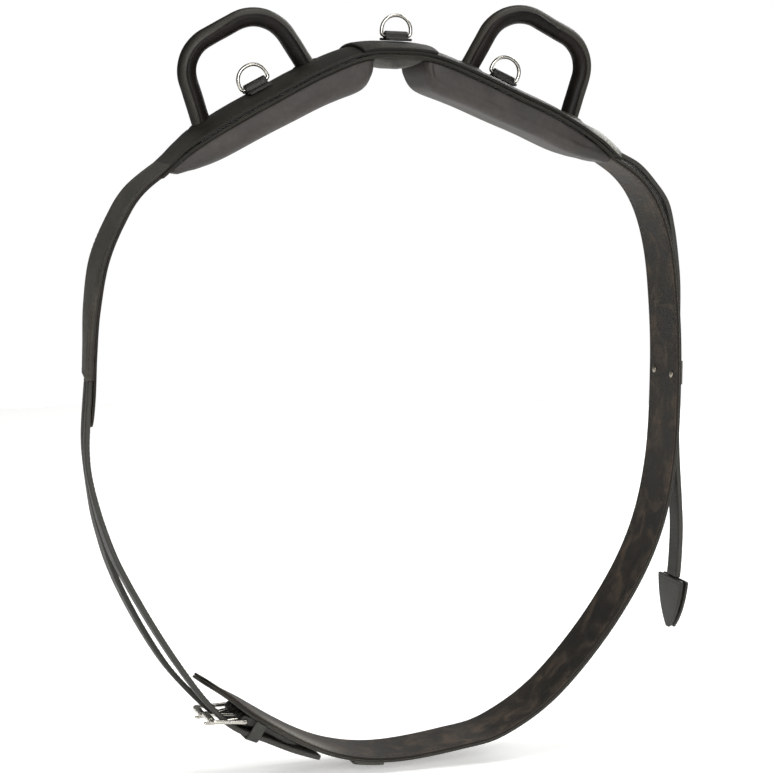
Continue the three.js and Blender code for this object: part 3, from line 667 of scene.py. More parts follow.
for side, name in [(-1, "left"), (1, "right")]:
    far_end = 234 if side < 0 else 230
    s, inset = stations(24.5, far_end, 150, 3.0)
    s, inset = s[:, None], inset[:, None]
    narrow = 9 - np.sqrt(81 - np.clip(9 - (s - 24.5), 0, 9) ** 2)  # rounded corners at the gullet end
    half = panel_half(s) - 1.2 - 0.8 * narrow - inset
    seat = SEAT + 0.3 - inset * 0.3
    stretched = PAD_START + (s - PAD_START) * 204 / (far_end - PAD_START)
    under = -np.interp(stretched, depth_line[:, 0], depth_line[:, 1]) + inset
    low_edge = np.minimum(12.5, 0.55 * (seat - under))
    quarter = np.linspace(0, np.pi / 2, 13)[None]
    top_edge = 1.8
    up = np.linspace(0, 1, 22)[None, 1:-1]
    across = np.linspace(-1, 1, 40)[None, 1:-1]
    side_y = half + 0 * up
    side_h = (under + low_edge) + (seat - top_edge - under - low_edge) * up
    low_y = half - low_edge + low_edge * np.sin(quarter)
    low_h = under + low_edge - low_edge * np.cos(quarter)
    top_y = half - top_edge + top_edge * np.cos(quarter[:, ::3])
    top_h = seat - top_edge + top_edge * np.sin(quarter[:, ::3])
    rear_y = np.hstack([low_y, side_y, top_y])
    rear_h = np.hstack([low_h, side_h, top_h])
    # the band that is sewn in over the pad's far end lies in a hollow
    hollow = (seat - STRAP_SEAT) * smooth(s, 198, 202) * (1 - smooth(np.abs(across), 0.93, 0.97))
    y = np.hstack([rear_y, (half - top_edge) * -across, -rear_y[:, ::-1], (half - low_edge) * across])
    h = np.hstack([rear_h, seat - np.maximum(hollow, 0), rear_h[:, ::-1], under + 0 * across])
    part = (h - under) / np.maximum(seat - under, 1)
    # stuffing: the sides and the bottom stand out most in the middle, by 1.1 mm and 1.2 mm
    round_side = np.clip(4 * part * (1 - part), 0, 1) * smooth(s, 26, 44) * (1 - smooth(s, 205, 227))
    y = y + np.sign(y) * 1.1 * round_side * smooth(np.abs(y), 0.6 * half, half)
    h = h - 1.2 * (1 - (y / half) ** 2).clip(0) * (1 - part).clip(0, 1) ** 3
    # hand stuffing leaves the leather very slightly uneven
    lumps = 0.22 * np.sin(s / 13 + side) * np.sin(h / 5) + 0.14 * np.sin(s / 5.1 + h / 4.3 + side)
    y = y + np.sign(y) * smooth(np.abs(y), 0.5 * half, half) * lumps
    if side > 0:
        # the boxing seam: inside a line 8.5 mm up from the lower edge and 6 mm from the gullet end, the side
        # is set in, with a rounded corner where the two lines meet
        rise, run = h - under - 8.5, s - 30.5
        corner = 9.0
        rounded = corner - np.hypot(np.maximum(corner - rise, 0), np.maximum(corner - run, 0))
        inside = np.where((rise < corner) & (run < corner), rounded, np.minimum(rise, run))
        step = 1.7 * smooth(inside, -0.8, 2.6) - 0.5 * smooth(inside, 2.6, 16)
        set_in = (step + 0.5 * np.exp(-((inside / 1.1) ** 2))) * smooth(np.abs(y), 0.8 * half, half)
        y = y - np.sign(y) * set_in * (1 - smooth(s, 196, 222))
    rings = crest.at(side * s, h, y)
    old = [f"{name}_pad_cover", f"{name}_pad_filling"]
    pad = skin(f"{name}_panel_pad", rings, pad_leather, slot="top_leather", replaces=old)

# ==== Hand grips ==================================================================================
# Two rigid steel loops wound in near-black bridle leather. The leather is lapped along the inner front of the
# loop and sewn, which leaves one long step; it is polished by hands and shines on the bends, and a pale band
# painted just past the step is a painted sheen.

grip_leather = leather(
    "polished_bridle_leather", "#0b0a09", "#16110e", "#080706", (0.34, 0.46), 1.1, 0.05, 60, "#120e0b",
    shine=0.15,
)


def rounded_line(points, radii, closed=False, steps=10):
    """The points of a bent line in a plane whose corners are circular arcs of the given radii."""
    p = np.array(points, float)
    n = len(p)
    out = []
    for i, radius in enumerate(radii):
        if radius == 0 or (not closed and i in (0, n - 1)):
            out.append(p[i][None])
            continue
        before, after = p[(i - 1) % n] - p[i], p[(i + 1) % n] - p[i]
        before, after = before / np.linalg.norm(before), after / np.linalg.norm(after)
        half = np.arccos(np.clip(before @ after, -1, 1)) / 2
        middle = before + after
        centre = p[i] + middle / np.linalg.norm(middle) * radius / np.sin(half)
        start = p[i] + before * radius / np.tan(half) - centre
        turn = np.pi - 2 * half
        turn *= -np.sign(before[0] * after[1] - before[1] * after[0])
        a = np.linspace(0, turn, steps + 1)[:, None]
        out.append(centre + start * np.cos(a) + np.array([-start[1], start[0]]) * np.sin(a))
    return np.vstack(out)


def evenly(points, count, closed=False):
    """The same line with `count` points at equal distances."""
    p = np.vstack([points, points[:1]]) if closed else points
    d = np.concatenate([[0], np.cumsum(np.linalg.norm(np.diff(p, axis=0), axis=1))])
    t = np.linspace(0, d[-1], count + 1)[:-1] if closed else np.linspace(0, d[-1], count)
    return np.stack([np.interp(t, d, p[:, i]) for i in (0, 1)], -1), t


def tube(points, radius, sides=16, closed=False):
    """Outlines round a line in a plane, as [first, across, second]. The radius is a number or an array with
    a row for each point and a column for each direction, which turns from the line's left to across."""
    after = np.roll(points, -1, 0) if closed else np.vstack([points[1:], points[-1:]])
    before = np.roll(points, 1, 0) if closed else np.vstack([points[:1], points[:-1]])
    along = after - before
    along = along / np.linalg.norm(along, axis=1, keepdims=True)
    turn = np.linspace(0, 2 * np.pi, sides + 1)[:-1]
    r = np.broadcast_to(radius, (len(points), sides))
    left = r * np.cos(turn)
    first, second = points[:, :1] - along[:, 1:] * left, points[:, 1:] + along[:, :1] * left
    return np.stack([first, r * np.sin(turn), second], -1)


GRIP_RADIUS = 8.5
for side, name, upper, lower in [
    (-1, "left", (-111.5, 47), (-189.6, 5)),
    (1, "right", (110.2, 50.5), (191, 7)),
]:
    foot = lambda s, h: crest.at(side * s, h)[[0, 2]]
    corners = [foot(FEET[0], -2.4), foot(FEET[0], 3), upper, lower, foot(FEET[1], 3), foot(FEET[1], -2.4)]
    line, run = evenly(rounded_line(corners, [0, 14, 36, 32, 14, 0], steps=24), 190)
    turn = np.linspace(0, 2 * np.pi, 61)[:-1][None]
    # measured from the outer side of the loop towards the front, the lap lies at about 105 degrees, wandering
    outer = 0 if side < 0 else np.pi
    front = -1 if side < 0 else 1
    from_outer = np.mod(front * (turn - outer), 2 * np.pi)
    seam = np.radians(104 + 9 * np.sin(run[:, None] / 31) + 4 * np.sin(run[:, None] / 11.3))
    past = np.mod(from_outer - seam, 2 * np.pi)
    lap = 0.75 * (1 - smooth(past, 0, 0.75)) * smooth(past, -0.01, 0.09)
    wave = 0.1 * np.sin(run[:, None] / 6.5 + turn) + 0.07 * np.sin(run[:, None] / 3.1 - 2 * turn)
    rings = tube(line, GRIP_RADIUS - 0.15 - lap + wave * 0.6, 60)
    skin(
        f"{name}_grip_cover", rings, grip_leather, slot="grip_leather", replaces=[f"{name}_handle_grip"],
        # a pale band just past the lap is a painted sheen, mixed into the colour
        rubbed=0.22 * (1 - smooth(past, 0.2, 1.3)) * smooth(past, 0.02, 0.2),
    )

# ==== D-rings and their loops =====================================================================
# Each ring is 3.3 mm wire bent to a D and welded in the middle of its straight side, nickel plated. It turns
# in a loop of near-black leather rolled over it and sewn down on both sides.


def plated(name, shade, rough, cloud_size):
    """Bright nickel on steel: warm silver, with cloudy wear that dulls it a little and soft dents."""
    metal = bpy.data.materials.new(name)
    metal.use_nodes = True
    tree = metal.node_tree
    shader = tree.nodes["Principled BSDF"]
    place = add(tree, "ShaderNodeTexCoord").outputs["Object"]
    wear = add(tree, "ShaderNodeTexNoise", {"Vector": place, "Scale": 1 / cloud_size, "Detail": 1.5})
    cloud = wear.outputs["Fac"]
    tone = add(tree, "ShaderNodeValToRGB", {"Fac": cloud})
    dull = np.array(hex_colour(shade)) * (0.84, 0.83, 0.8, 1)
    tone.color_ramp.elements[0].position, tone.color_ramp.elements[1].position = 0.32, 0.6
    tone.color_ramp.elements[0].color, tone.color_ramp.elements[1].color = dull.tolist(), hex_colour(shade)
    gloss = add(tree, "ShaderNodeMapRange", {"Value": cloud, "To Min": rough + 0.06, "To Max": rough - 0.04})
    bump = add(tree, "ShaderNodeBump", {"Height": cloud, "Distance": 0.00002, "Strength": 0.12})
    tree.links.new(tone.outputs["Color"], shader.inputs["Base Color"])
    tree.links.new(gloss.outputs["Result"], shader.inputs["Roughness"])
    tree.links.new(bump.outputs["Normal"], shader.inputs["Normal"])
    shader.inputs["Metallic"].default_value = 1.0
    return metal


nickel = plated("bright_nickel_plate", "#c6c3bc", 0.22, 0.009)
loop_leather = leather("rolled_loop_leather", "#13110f", "#24211e", "#0d0b0a", (0.34, 0.5), 1.1, 0.07, 12)

RING_LIFT = 4.6  # from the leather to the ring's straight side
RING_HALF = 13.5  # from the middle of the ring to the middle of its wire


def strip_outline(centre, thick):
    """The outline of a strip seen from its end: its middle line moved half the thickness to either side,
    along the line's normal."""
    along = np.gradient(centre, axis=0)
    along /= np.linalg.norm(along, axis=1, keepdims=True)
    normal = np.stack([-along[:, 1], along[:, 0]], -1)
    return np.vstack([centre - normal * thick / 2, (centre + normal * thick / 2)[::-1]])


def bridge_line(inside, rise, foot, thick, base=0.3, crook=2.0, bend=3.0, count=60):
    """The middle line of a strip that lies flat, rises over something `inside` to each side and lies flat
    again: six corners, with arcs of radius crook at the foot and bend at the top."""
    low, high, wall = base + thick / 2, rise + thick / 2, inside + thick / 2
    corners = [(-foot, low), (-wall, low), (-wall, high), (wall, high), (wall, low), (foot, low)]
    return evenly(rounded_line(corners, [0, crook, bend, bend, crook, 0]), count)[0]


for name, s_ring, surface in [("left", -125, CROWN), ("centre", 6.5, CROWN + 2.9), ("right", 110, CROWN)]:
    centre = bridge_line(2.3, RING_LIFT + 2, 14, 2.3, crook=2.6, bend=3.4)
    along, inset = stations(-10.5, 10.5, 8, 0.8)
    outline = np.stack([strip_outline(centre, 2.3 - 2 * i) for i in inset])
    local = np.stack([along[:, None] + 0 * outline[..., 0], outline[..., 0], outline[..., 1]], -1)
    skin(
        f"{name}_rolled_loop", crest.placed(s_ring, surface, local), loop_leather, slot="top_leather",
        replaces=[f"{name}_ring_loop"],
    )
    for row, across in [("front", -8.0), ("rear", 8.0)]:
        line = lambda u, out, y: crest.placed(s_ring, surface, np.stack([u, across + y, 2.6 + out], -1))
        stitches(f"{name}_loop_{row}_stitching", line, -9, 9, dark_thread, slot="top_leather")

    corners = [(-RING_HALF, 0), (RING_HALF, 0), (RING_HALF, 18), (-RING_HALF, 18)]
    outline = rounded_line(corners, [3, 3, 13, 13], closed=True, steps=16)
    line, run = evenly(outline, 110, closed=True)
    seat = 0.12 * np.exp(-((line[:, 0] / 1.2) ** 2)) * (line[:, 1] < 1)  # the weld, a slight swelling
    rings = tube(line, (1.65 + seat)[:, None], 18, closed=True) + np.array([0, 0, RING_LIFT])
    skin(
        f"{name}_wire_ring", crest.placed(s_ring, surface, rings), nickel, body=f"{name}_d_ring",
        slot="nickel", replaces=[f"{name}_d_ring"], ring_line=True,
    )

# ==== Left flap and billets =======================================================================
# The flap is two plies of bridle leather, 62 mm wide, sewn along both edges. The outer ply ends square, well
# above the rounded inner one. Two billets, each two plies thick and punched, come out from between them.

bridle_leather = leather(
    "bridle_leather_black_brown", "#3b3b34", "#504e46", "#171512", (0.52, 0.66), 1.4, 0.09, 34, "#45413a"
)
# its cut edges are painted paler than its faces: painted light on edges that face the front
billet_leather = leather(
    "bridle_leather_painted_lit_edge", "#292824", "#393833", "#33322e", (0.52, 0.66), 1.4, 0.07, 22
)
flesh_leather = leather(
    "waxed_inner_leather", "#1c1915", "#4d4136", "#14110e", (0.56, 0.72), 2.0, 0.12, 24, "#2b2620", shine=0.3
)

SEWN_IN, STRAP_UNDER = 203, -8.2


def flap_twist(s, z):
    """How far the flap and billets lean: most between 265 and 345 mm below the top."""
    return 0.14 * smooth(-z, 160, 265) * (1 - smooth(-z, 345, 432))


def on_crest(s, h):
    return tuple(crest.at(s, h)[[0, 2]])


flap = Route(
    [
        (-271.6, -315), (-268.8, -285), (-267.2, -250), (-265.6, -213), (-259.8, -173), (-245.5, -139),
        (-228, -113), on_crest(-222, STRAP_UNDER), on_crest(-SEWN_IN, STRAP_UNDER),
    ],
    lean=flap_twist,
)
PLY, BAND_HALF = 2.3, 31
BAND_SEAM = BAND_HALF - 4  # from the middle of the band to its lines of stitches
GLUE = 0.3  # between two plies


def rounded_end(half, radius):
    """Half the width near an end at distance 0: the corners are arcs of the given radius."""

    def half_at(s):
        return half - radius + np.sqrt(np.clip(radius**2 - np.clip(radius - s, 0, radius) ** 2, 0, None))

    return half_at


rings = strap(flap, 0, flap.length, 150, rounded_end(BAND_HALF, 16), 0, PLY, edge=0.7, across=24)
skin(
    "flap_inner_ply", rings, flesh_leather, slot="lining_leather", replaces=["flap_lining"],
    edge=edge_mark(24)[None],
)
BILLET_THICK = 4.6
BILLET_ROOT = 196  # the billets are pared away up to here, so that the outer ply lies down gradually
billet_thick = lambda s_flap: 0.25 + (BILLET_THICK - 0.25) * (1 - smooth(s_flap, 50, BILLET_ROOT))


def flap_base(s, y):
    """Underside of the outer ply: on the billets in the middle, and drawn down and sewn to the inner ply at
    both edges, 25 to 30.8 mm from the middle."""
    over = billet_thick(s) + 0.25 * (1 - smooth(s, 50, BILLET_ROOT))
    return PLY + GLUE + over * (1 - smooth(np.abs(y), 25, 30.8))


s, inset = stations(42, flap.length, 150, 0.7)
outline = ply(BAND_HALF - inset, inset, PLY - inset, np.maximum(0.7 - inset, THINNEST), 0.0, 44)
outline[..., 1] += flap_base(s[:, None], outline[..., 0])
rings = flap.at(s[:, None], outline[..., 1], outline[..., 0])
skin("flap_outer_ply", rings, bridle_leather, replaces=["flap_outer"], edge=edge_mark(44)[None])
for across, row in EDGES:
    seam = across * 27.8
    outer = lambda s, out, y: flap.at(s, flap_base(s, seam) + PLY + out, seam + y)
    inner = lambda s, out, y: flap.at(s, -out, across * BAND_SEAM + y)
    stitches(f"flap_outer_{row}_stitching", outer, 45, flap.length - 12, dark_thread)
    stitches(f"flap_inner_{row}_stitching", inner, 18, flap.length - 12, dark_thread, slot="lining_leather")
line = lambda y, out, s: flap.at(46 + s, flap_base(46.0, y) + PLY + out, y)
stitches("flap_end_stitching", line, -26, 26, dark_thread)

billet_top = [(-258.5, -420), (-265, -398), (-269.6, -377), (-273.3, -355), (-274.8, -336)]
for s_top in (0, 45, 85, 120, 158, BILLET_ROOT - 2):
    billet_top.append(tuple(flap.at(s_top, PLY + GLUE)[[0, 2]]))
billet_end = [(-72, -621.5), (-98, -612), (-125, -599.5), (-143, -592)]
front_middle = [
    (-157, -583), (-168, -571.5), (-182, -554.5), (-201, -526.5), (-219.5, -496.5), (-236.3, -466.5),
    (-251, -438),
]
rear_middle = [
    (-157.5, -584), (-169.5, -574.5), (-185.5, -557.5), (-204, -534.5), (-224, -501.5), (-241, -468),
    (-251.5, -442.5),
]
billets = {
    "front": Route([*billet_end, *front_middle, *billet_top], lean=flap_twist),
    "rear": Route([*billet_end, *rear_middle, *billet_top], lean=flap_twist),
}
BILLET_HALF, BILLET_Y, TONGUE_HOLE, HOLE_PITCH = 12.5, 17.6, 93, 27
BILLET_EDGE = 1.5
sides = [("front", -BILLET_Y), ("rear", BILLET_Y)]


def cut_out(piece, cutter):
    """Takes the cutter's solid out of the piece for good, and removes the cutter."""
    cut = piece.modifiers.new("cut", "BOOLEAN")
    cut.object, cut.operation, cut.solver = cutter, "DIFFERENCE", "EXACT"
    graph = bpy.context.evaluated_depsgraph_get()
    made = bpy.data.meshes.new_from_object(piece.evaluated_get(graph))
    piece.modifiers.clear()
    piece.data = made
    made.name = piece.name
    bpy.data.objects.remove(cutter)
    made.shade_smooth()
    made.set_sharp_from_angle(angle=SHARP)


def cutter_from(rings_list):
    """One object from several closed rows of outlines, only for cutting."""
    points, faces, first = [], [], 0
    for rings in rings_list:
        n, m, _ = rings.shape
        caps = [list(range(m)), list(range((n - 1) * m, n * m))]
        faces += (grid_faces(n, m) + first).tolist() + [[v + first for v in cap] for cap in caps]
        points.append(rings.reshape(-1, 3) * MM)
        first += n * m
    mesh = bpy.data.meshes.new("cutter")
    mesh.from_pydata(np.vstack(points).tolist(), [], faces)
    turn_outwards(mesh)
    cutter = bpy.data.objects.new("cutter", mesh)
    bpy.context.scene.collection.objects.link(cutter)
    return cutter


def punched(path, holes, low, high, y):
    """Upright tubes through a strap for a cutter, from low to high: each hole is where it lies along the
    strap, and its half length and half width."""
    turn = np.linspace(0, 2 * np.pi, 25)[:-1][None]
    level = np.array([[low], [high]])
    return [
        path.at(s + long * np.cos(turn) + 0 * level, level + 0 * turn, y + wide * np.sin(turn) + 0 * level)
        for s, long, wide in holes
    ]


for name, y in sides:
    path = billets[name]
    tip = rounded_end(BILLET_HALF, 4)
    s, inset = stations(0, path.length, 260, BILLET_EDGE)
    s_flap = BILLET_ROOT - 2 - (path.length - s)
    thick = billet_thick(s_flap)
    inset = np.minimum(inset, thick * 0.4)
    under_flap = smooth(s_flap, 20, 44)  # drawn in by 3 mm between the flap's plies
    half = tip(s) - inset - 1.5 * under_flap
    outline = ply(half, inset, thick - inset, np.clip(BILLET_EDGE - inset, THINNEST, thick * 0.4), 0.25, 14)
    # a fine groove all along the cut edge, where the two plies are glued and sewn together
    edge_line = np.exp(-(((outline[..., 1] - BILLET_THICK / 2) / 0.45) ** 2)) * (np.abs(outline[..., 0]) > 5)
    outline[..., 0] -= 0.25 * np.sign(outline[..., 0]) * edge_line
    outline[..., 0] -= np.sign(y) * 1.5 * under_flap[:, None]
    rings = path.at(s[:, None], outline[..., 1], y + outline[..., 0])
    billet = skin(
        f"{name}_billet_strap", rings, billet_leather, replaces=[f"{name}_billet"], edge=edge_mark(14)[None]
    )
    holes = [(TONGUE_HOLE, 6.5, 2.5)]  # the tongue's own hole is drawn out by wear and pull
    holes += [(TONGUE_HOLE + i * HOLE_PITCH, 2.3, 2.3) for i in (-2, -1, 1, 2, 3, 4)]
    cut_out(billet, cutter_from(punched(path, holes, -2.0, BILLET_THICK + 2, y)))
    last = path.length - BILLET_ROOT + 44
    for across, row in [(-1, "outside"), (1, "inside")]:
        seam = y + across * (BILLET_HALF - 3.4)
        for face, top, sign in [("outer", BILLET_THICK, 1), ("inner", 0.0, -1)]:
            line = lambda s, out, w: path.at(s, top + sign * (out - 0.04), seam + w)
            stitches(f"{name}_billet_{row}_{face}_stitching", line, 14, last, dark_thread)

# ==== Girth and its keepers =======================================================================
# Two plies of bridle leather, 62 mm wide, sewn along both edges, from under the right panel round to the
# rounded guard under the buckles. The inner face is darker and polished in patches by wear. The side keeper
# is riveted on; the bottom keeper is sewn.

STRAP_TOP = -3.3
girth = Route(
    [
        on_crest(SEWN_IN, STRAP_TOP), on_crest(222, STRAP_TOP), (232, -106.5), (252, -134), (264.5, -172),
        (271, -221), (274, -288), (270, -377), (252, -450), (213, -519), (157, -583), (104, -617), (60, -627),
        (0, -633), (-45, -628), (-86, -612.5), (-139, -579.4), (-186, -545),
    ],
    lean=lambda s, z: -0.085 * smooth(s, 893, 935),  # the free guard has taken a slight twist
)
GIRTH_END = girth.length - 7
guard = lambda s: rounded_end(BAND_HALF, 22)(GIRTH_END - s)
SIDE_KEEPER, BOTTOM_KEEPER, RIVET_Y = 253, 773, 19
# the inner face is worn pale where the folded chapes press it against the horse, most along its front edge
worn_at = lambda s, y: smooth(s, 790, 838) * (1 - smooth(s, 862, 905)) * (1 - smooth(y, -26, 10))
for name, low, high, material, slot, old in [
    ("girth_outer_ply", -PLY, 0.0, bridle_leather, "strap_leather", "girth_outer"),
    ("girth_inner_ply", -2 * PLY - GLUE, -PLY - GLUE, flesh_leather, "lining_leather", "girth_lining"),
]:
    rings = strap(girth, 0, GIRTH_END, 420, guard, low, high, edge=0.9, across=24)
    s = stations(0, GIRTH_END, 420, 0.9)[0][:, None]
    rubbed = 0.75 * worn_at(s, rings[..., 1])
    band = skin(name, rings, material, slot=slot, replaces=[old], edge=edge_mark(24)[None], rubbed=rubbed)
    hole = [(SIDE_KEEPER, 1.9, 1.9)]
    tubes = [punched(girth, hole, low - 1, high + 1, y)[0] for y in (-RIVET_Y, RIVET_Y)]
    cut_out(band, cutter_from(tubes))
for across, row in EDGES:
    seam = across * BAND_SEAM
    outer = lambda s, out, y: girth.at(s, out, seam + y)
    inner = lambda s, out, y: girth.at(s, -2 * PLY - GLUE - out, seam + y)
    stitches(f"girth_outer_{row}_stitching", outer, 8, GIRTH_END - 24, dark_thread)
    stitches(f"girth_inner_{row}_stitching", inner, 26, GIRTH_END - 24, dark_thread, slot="lining_leather")


def over_band(
    name, path, middle, half_length, centre_at, thick, replaces, across=0.0, material=bridle_leather
):
    """A strip bent over something and lying along a path: its outline swept from -half_length to half_length,
    with the edges rounded off."""
    s, inset = stations(middle - half_length, middle + half_length, 8, 0.7)
    outline = np.stack([strip_outline(centre_at(v), thick - 2 * i) for v, i in zip(s, inset)])
    rings = path.at(s[:, None], outline[..., 1], across + outline[..., 0])
    return skin(name, rings, material, replaces=replaces)


side_line = lambda s: bridge_line(11.8, 7.8, 24, PLY)
bottom_line = lambda s: bridge_line(16, 4.4, 26, PLY, base=0.9)
over_band("side_keeper_strap", girth, SIDE_KEEPER, 11, side_line, PLY, ["side_keeper"])
over_band("bottom_keeper_strap", girth, BOTTOM_KEEPER, 12.5, bottom_line, PLY, ["bottom_keeper"])
for row, y in [("front", -21), ("rear", 21)]:
    for where, s_row in [("upper", BOTTOM_KEEPER - 9), ("lower", BOTTOM_KEEPER + 9)]:
        line = lambda w, out, s: girth.at(s_row + s, 0.9 + PLY + out, w)
        stitches(f"bottom_keeper_{row}_{where}_stitching", line, y - 4, y + 4, dark_thread)

rivet_metal = steel_finish("tinned_copper_rivet", "#a89f92", 0.36, 0.003)
for name, y in [("front", -RIVET_Y), ("rear", RIVET_Y)]:
    # a domed head over the keeper, a shank through all the plies and a washer peened on the inside
    profile = [(0.05, -6.35), (1.6, -6.3), (2.7, -6.05), (3.15, -5.6), (3.2, -5.25), (1.5, -5.2), (1.45, 2.9),
               (3.0, 2.95), (3.1, 3.2), (2.6, 3.75), (1.5, 4.0), (0.05, 4.1)]
    r, h = np.array(profile).T[..., None]
    turn = np.linspace(0, 2 * np.pi, 33)[:-1][None]
    local = np.stack([r * np.cos(turn), r * np.sin(turn) + 0 * h, h + 0 * turn], -1)
    skin(f"{name}_copper_rivet", girth.placed(SIDE_KEEPER, 0, local) + np.array([0, y, 0]), rivet_metal,
         slot="rivet_steel", replaces=[f"{name}_keeper_rivet"])

# ==== Outer strap and arrowhead ===================================================================
# A single strap 22 mm wide and two plies thick comes out from under the right panel, passes through the side
# keeper and hangs free. Its end is pared thin and sewn between the two plies of an arrowhead.

HANG_HALF, HANG_THICK = 11, 4.4
ARROW_TOP = 179  # from the bend below the keeper to the arrowhead's shoulders
BEND = (279, -308)
tail = Route([
    BEND, (279.3, -335), (280.8, -371), (283.6, -410), (285.2, -440), (284.3, -470), (282.8, -488),
    (281.9, -508),
])
outer_strap = Route([
    on_crest(204, 0.9), on_crest(222, 2.9), (218, -87.5), (237, -98), (252.2, -113.5), (265.5, -132),
    (271.8, -155), (276, -182), (278.6, -210), (279, -250), (279, -280),
    *[tuple(tail.at(d)[[0, 2]]) for d in range(0, 200, 14)],
])
pivot_at = outer_strap.s[np.argmin(np.linalg.norm(outer_strap.line - BEND, axis=1))]
shoulder = pivot_at + ARROW_TOP
pared = lambda s: smooth(s, shoulder - 1.2, shoulder - 0.4)
half_wide = lambda s: HANG_HALF - 2 * pared(s)
low_face = lambda s: -HANG_THICK / 2 + 1.3 * pared(s)
high_face = lambda s: HANG_THICK / 2 - 1.3 * pared(s)
hang = strap(outer_strap, 0, shoulder + 15, 300, half_wide, low_face, high_face, edge=0.85, across=14)
hanging = [skin(
    "outer_hanging_strap", hang, billet_leather, body=None, replaces=["hang_strap", "hang_tail"],
    edge=edge_mark(14)[None],
)]
for across, row in EDGES:
    seam = across * (HANG_HALF - 3)
    for face, sign in [("outer", 1), ("inner", -1)]:
        title = f"hanging_strap_{row}_{face}_stitching"
        line = lambda s, out, y: outer_strap.at(s, sign * (HANG_THICK / 2 + out), seam + y)
        hanging.append(stitches(title, line, 24, shoulder - 5, dark_thread, body=None))
for piece in hanging:  # the strap bends just below the side keeper
    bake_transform(piece)

# the arrowhead: straight shoulders, two bowed sides (quadratic curves) and a blunt tip
ARROW_HALF, ARROW_LENGTH, ARROW_PLY = 27, 48, 2.5
shoulder_point = tail.at(ARROW_TOP)
t = tail.at(ARROW_TOP + 8.5) - tail.at(ARROW_TOP + 7.5)
arrow_along = t / np.linalg.norm(t)
arrow_out = np.array([-arrow_along[2], 0, arrow_along[0]])
share = np.linspace(0, 1, 200)
bow_out = (1 - share) ** 2 * ARROW_HALF + 2 * share * (1 - share) * (ARROW_HALF - 4) + share**2 * 3
bow_down = 2 * share * (1 - share) * ARROW_LENGTH * 0.62 + share**2 * ARROW_LENGTH
arrow_half = lambda d: np.interp(d, bow_down, bow_out)


def on_arrow(along, out, across):
    """A point of the arrowhead: along from its shoulders, out from the strap's middle, and across."""
    along, out, across = np.broadcast_arrays(along, out, across)
    return (shoulder_point + along[..., None] * arrow_along + out[..., None] * arrow_out
            + across[..., None] * np.array([0, 1.0, 0]))


arrow_leather = leather(
    "smooth_bridle_leather", "#242320", "#31302a", "#1e1c19", (0.46, 0.58), 1.2, 0.05, 30, "#2b2a25"
)
for name, low, sign in [("arrow_outer", 1.2, 1), ("arrow_inner", -1.2 - ARROW_PLY, -1)]:
    s, inset = stations(0, ARROW_LENGTH, 70, 0.8)
    round_corner = 3 - np.sqrt(9 - np.clip(3 - s, 0, 3) ** 2)
    half = arrow_half(s) - inset - round_corner
    outline = ply(half, low + inset, low + ARROW_PLY - inset, np.maximum(0.8 - inset, THINNEST), 0.0, 20)
    bulge = 0.3 * (1 - (outline[..., 0] / half[:, None]) ** 2)
    outline[..., 1] += sign * bulge * smooth(s, 4, 20)[:, None]
    rings = on_arrow(s[:, None], outline[..., 1], outline[..., 0])
    skin(f"{name}_ply", rings, arrow_leather, body="hang_tail", replaces=[name], edge=edge_mark(20)[None])
    face = low + ARROW_PLY if sign > 0 else low
    for across, row in EDGES:
        line = lambda d, out, w: on_arrow(d, face + sign * out, across * (arrow_half(d) - 4.2) + w)
        stitches(f"{name}_{row}_stitching", line, 4, 44, dark_thread, body="hang_tail")
    line = lambda w, out, d: on_arrow(4.0 + d, face + sign * out, w)
    stitches(f"{name}_shoulder_stitching", line, -22, 22, dark_thread, body="hang_tail")

# ==== Buckles, chapes and billet keepers ==========================================================
# Two roller buckles side by side. Each nickel frame hangs in a chape, a strip folded round its back bar and
# sewn to the girth with pale thread; the tongue turns on the same bar, in a slot. The roller turns on the
# front bar. A keeper of matt leather holds the billet's end down.

BAR = np.array([-143, 0, -583.5])
FRAME_LENGTH, FRAME_INSIDE, WIRE, CHAPE_HALF = 31, 26, 2, 10.5
CHAPE_FROM, CHAPE_TO, KEEPER_AT = 848, 901, 887
frame_tilt = {"front": 5.5, "rear": -0.5}  # degrees that the roller is higher than the bar
chape_leather = leather("black_chape_leather", "#1b1a18", "#2c2b28", "#121110", (0.45, 0.6), 1.2, 0.08, 18)
keeper_leather = leather("matt_keeper_leather", "#2c2c29", "#3a3a36", "#191917", (0.58, 0.72), 1.2, 0.08, 15)

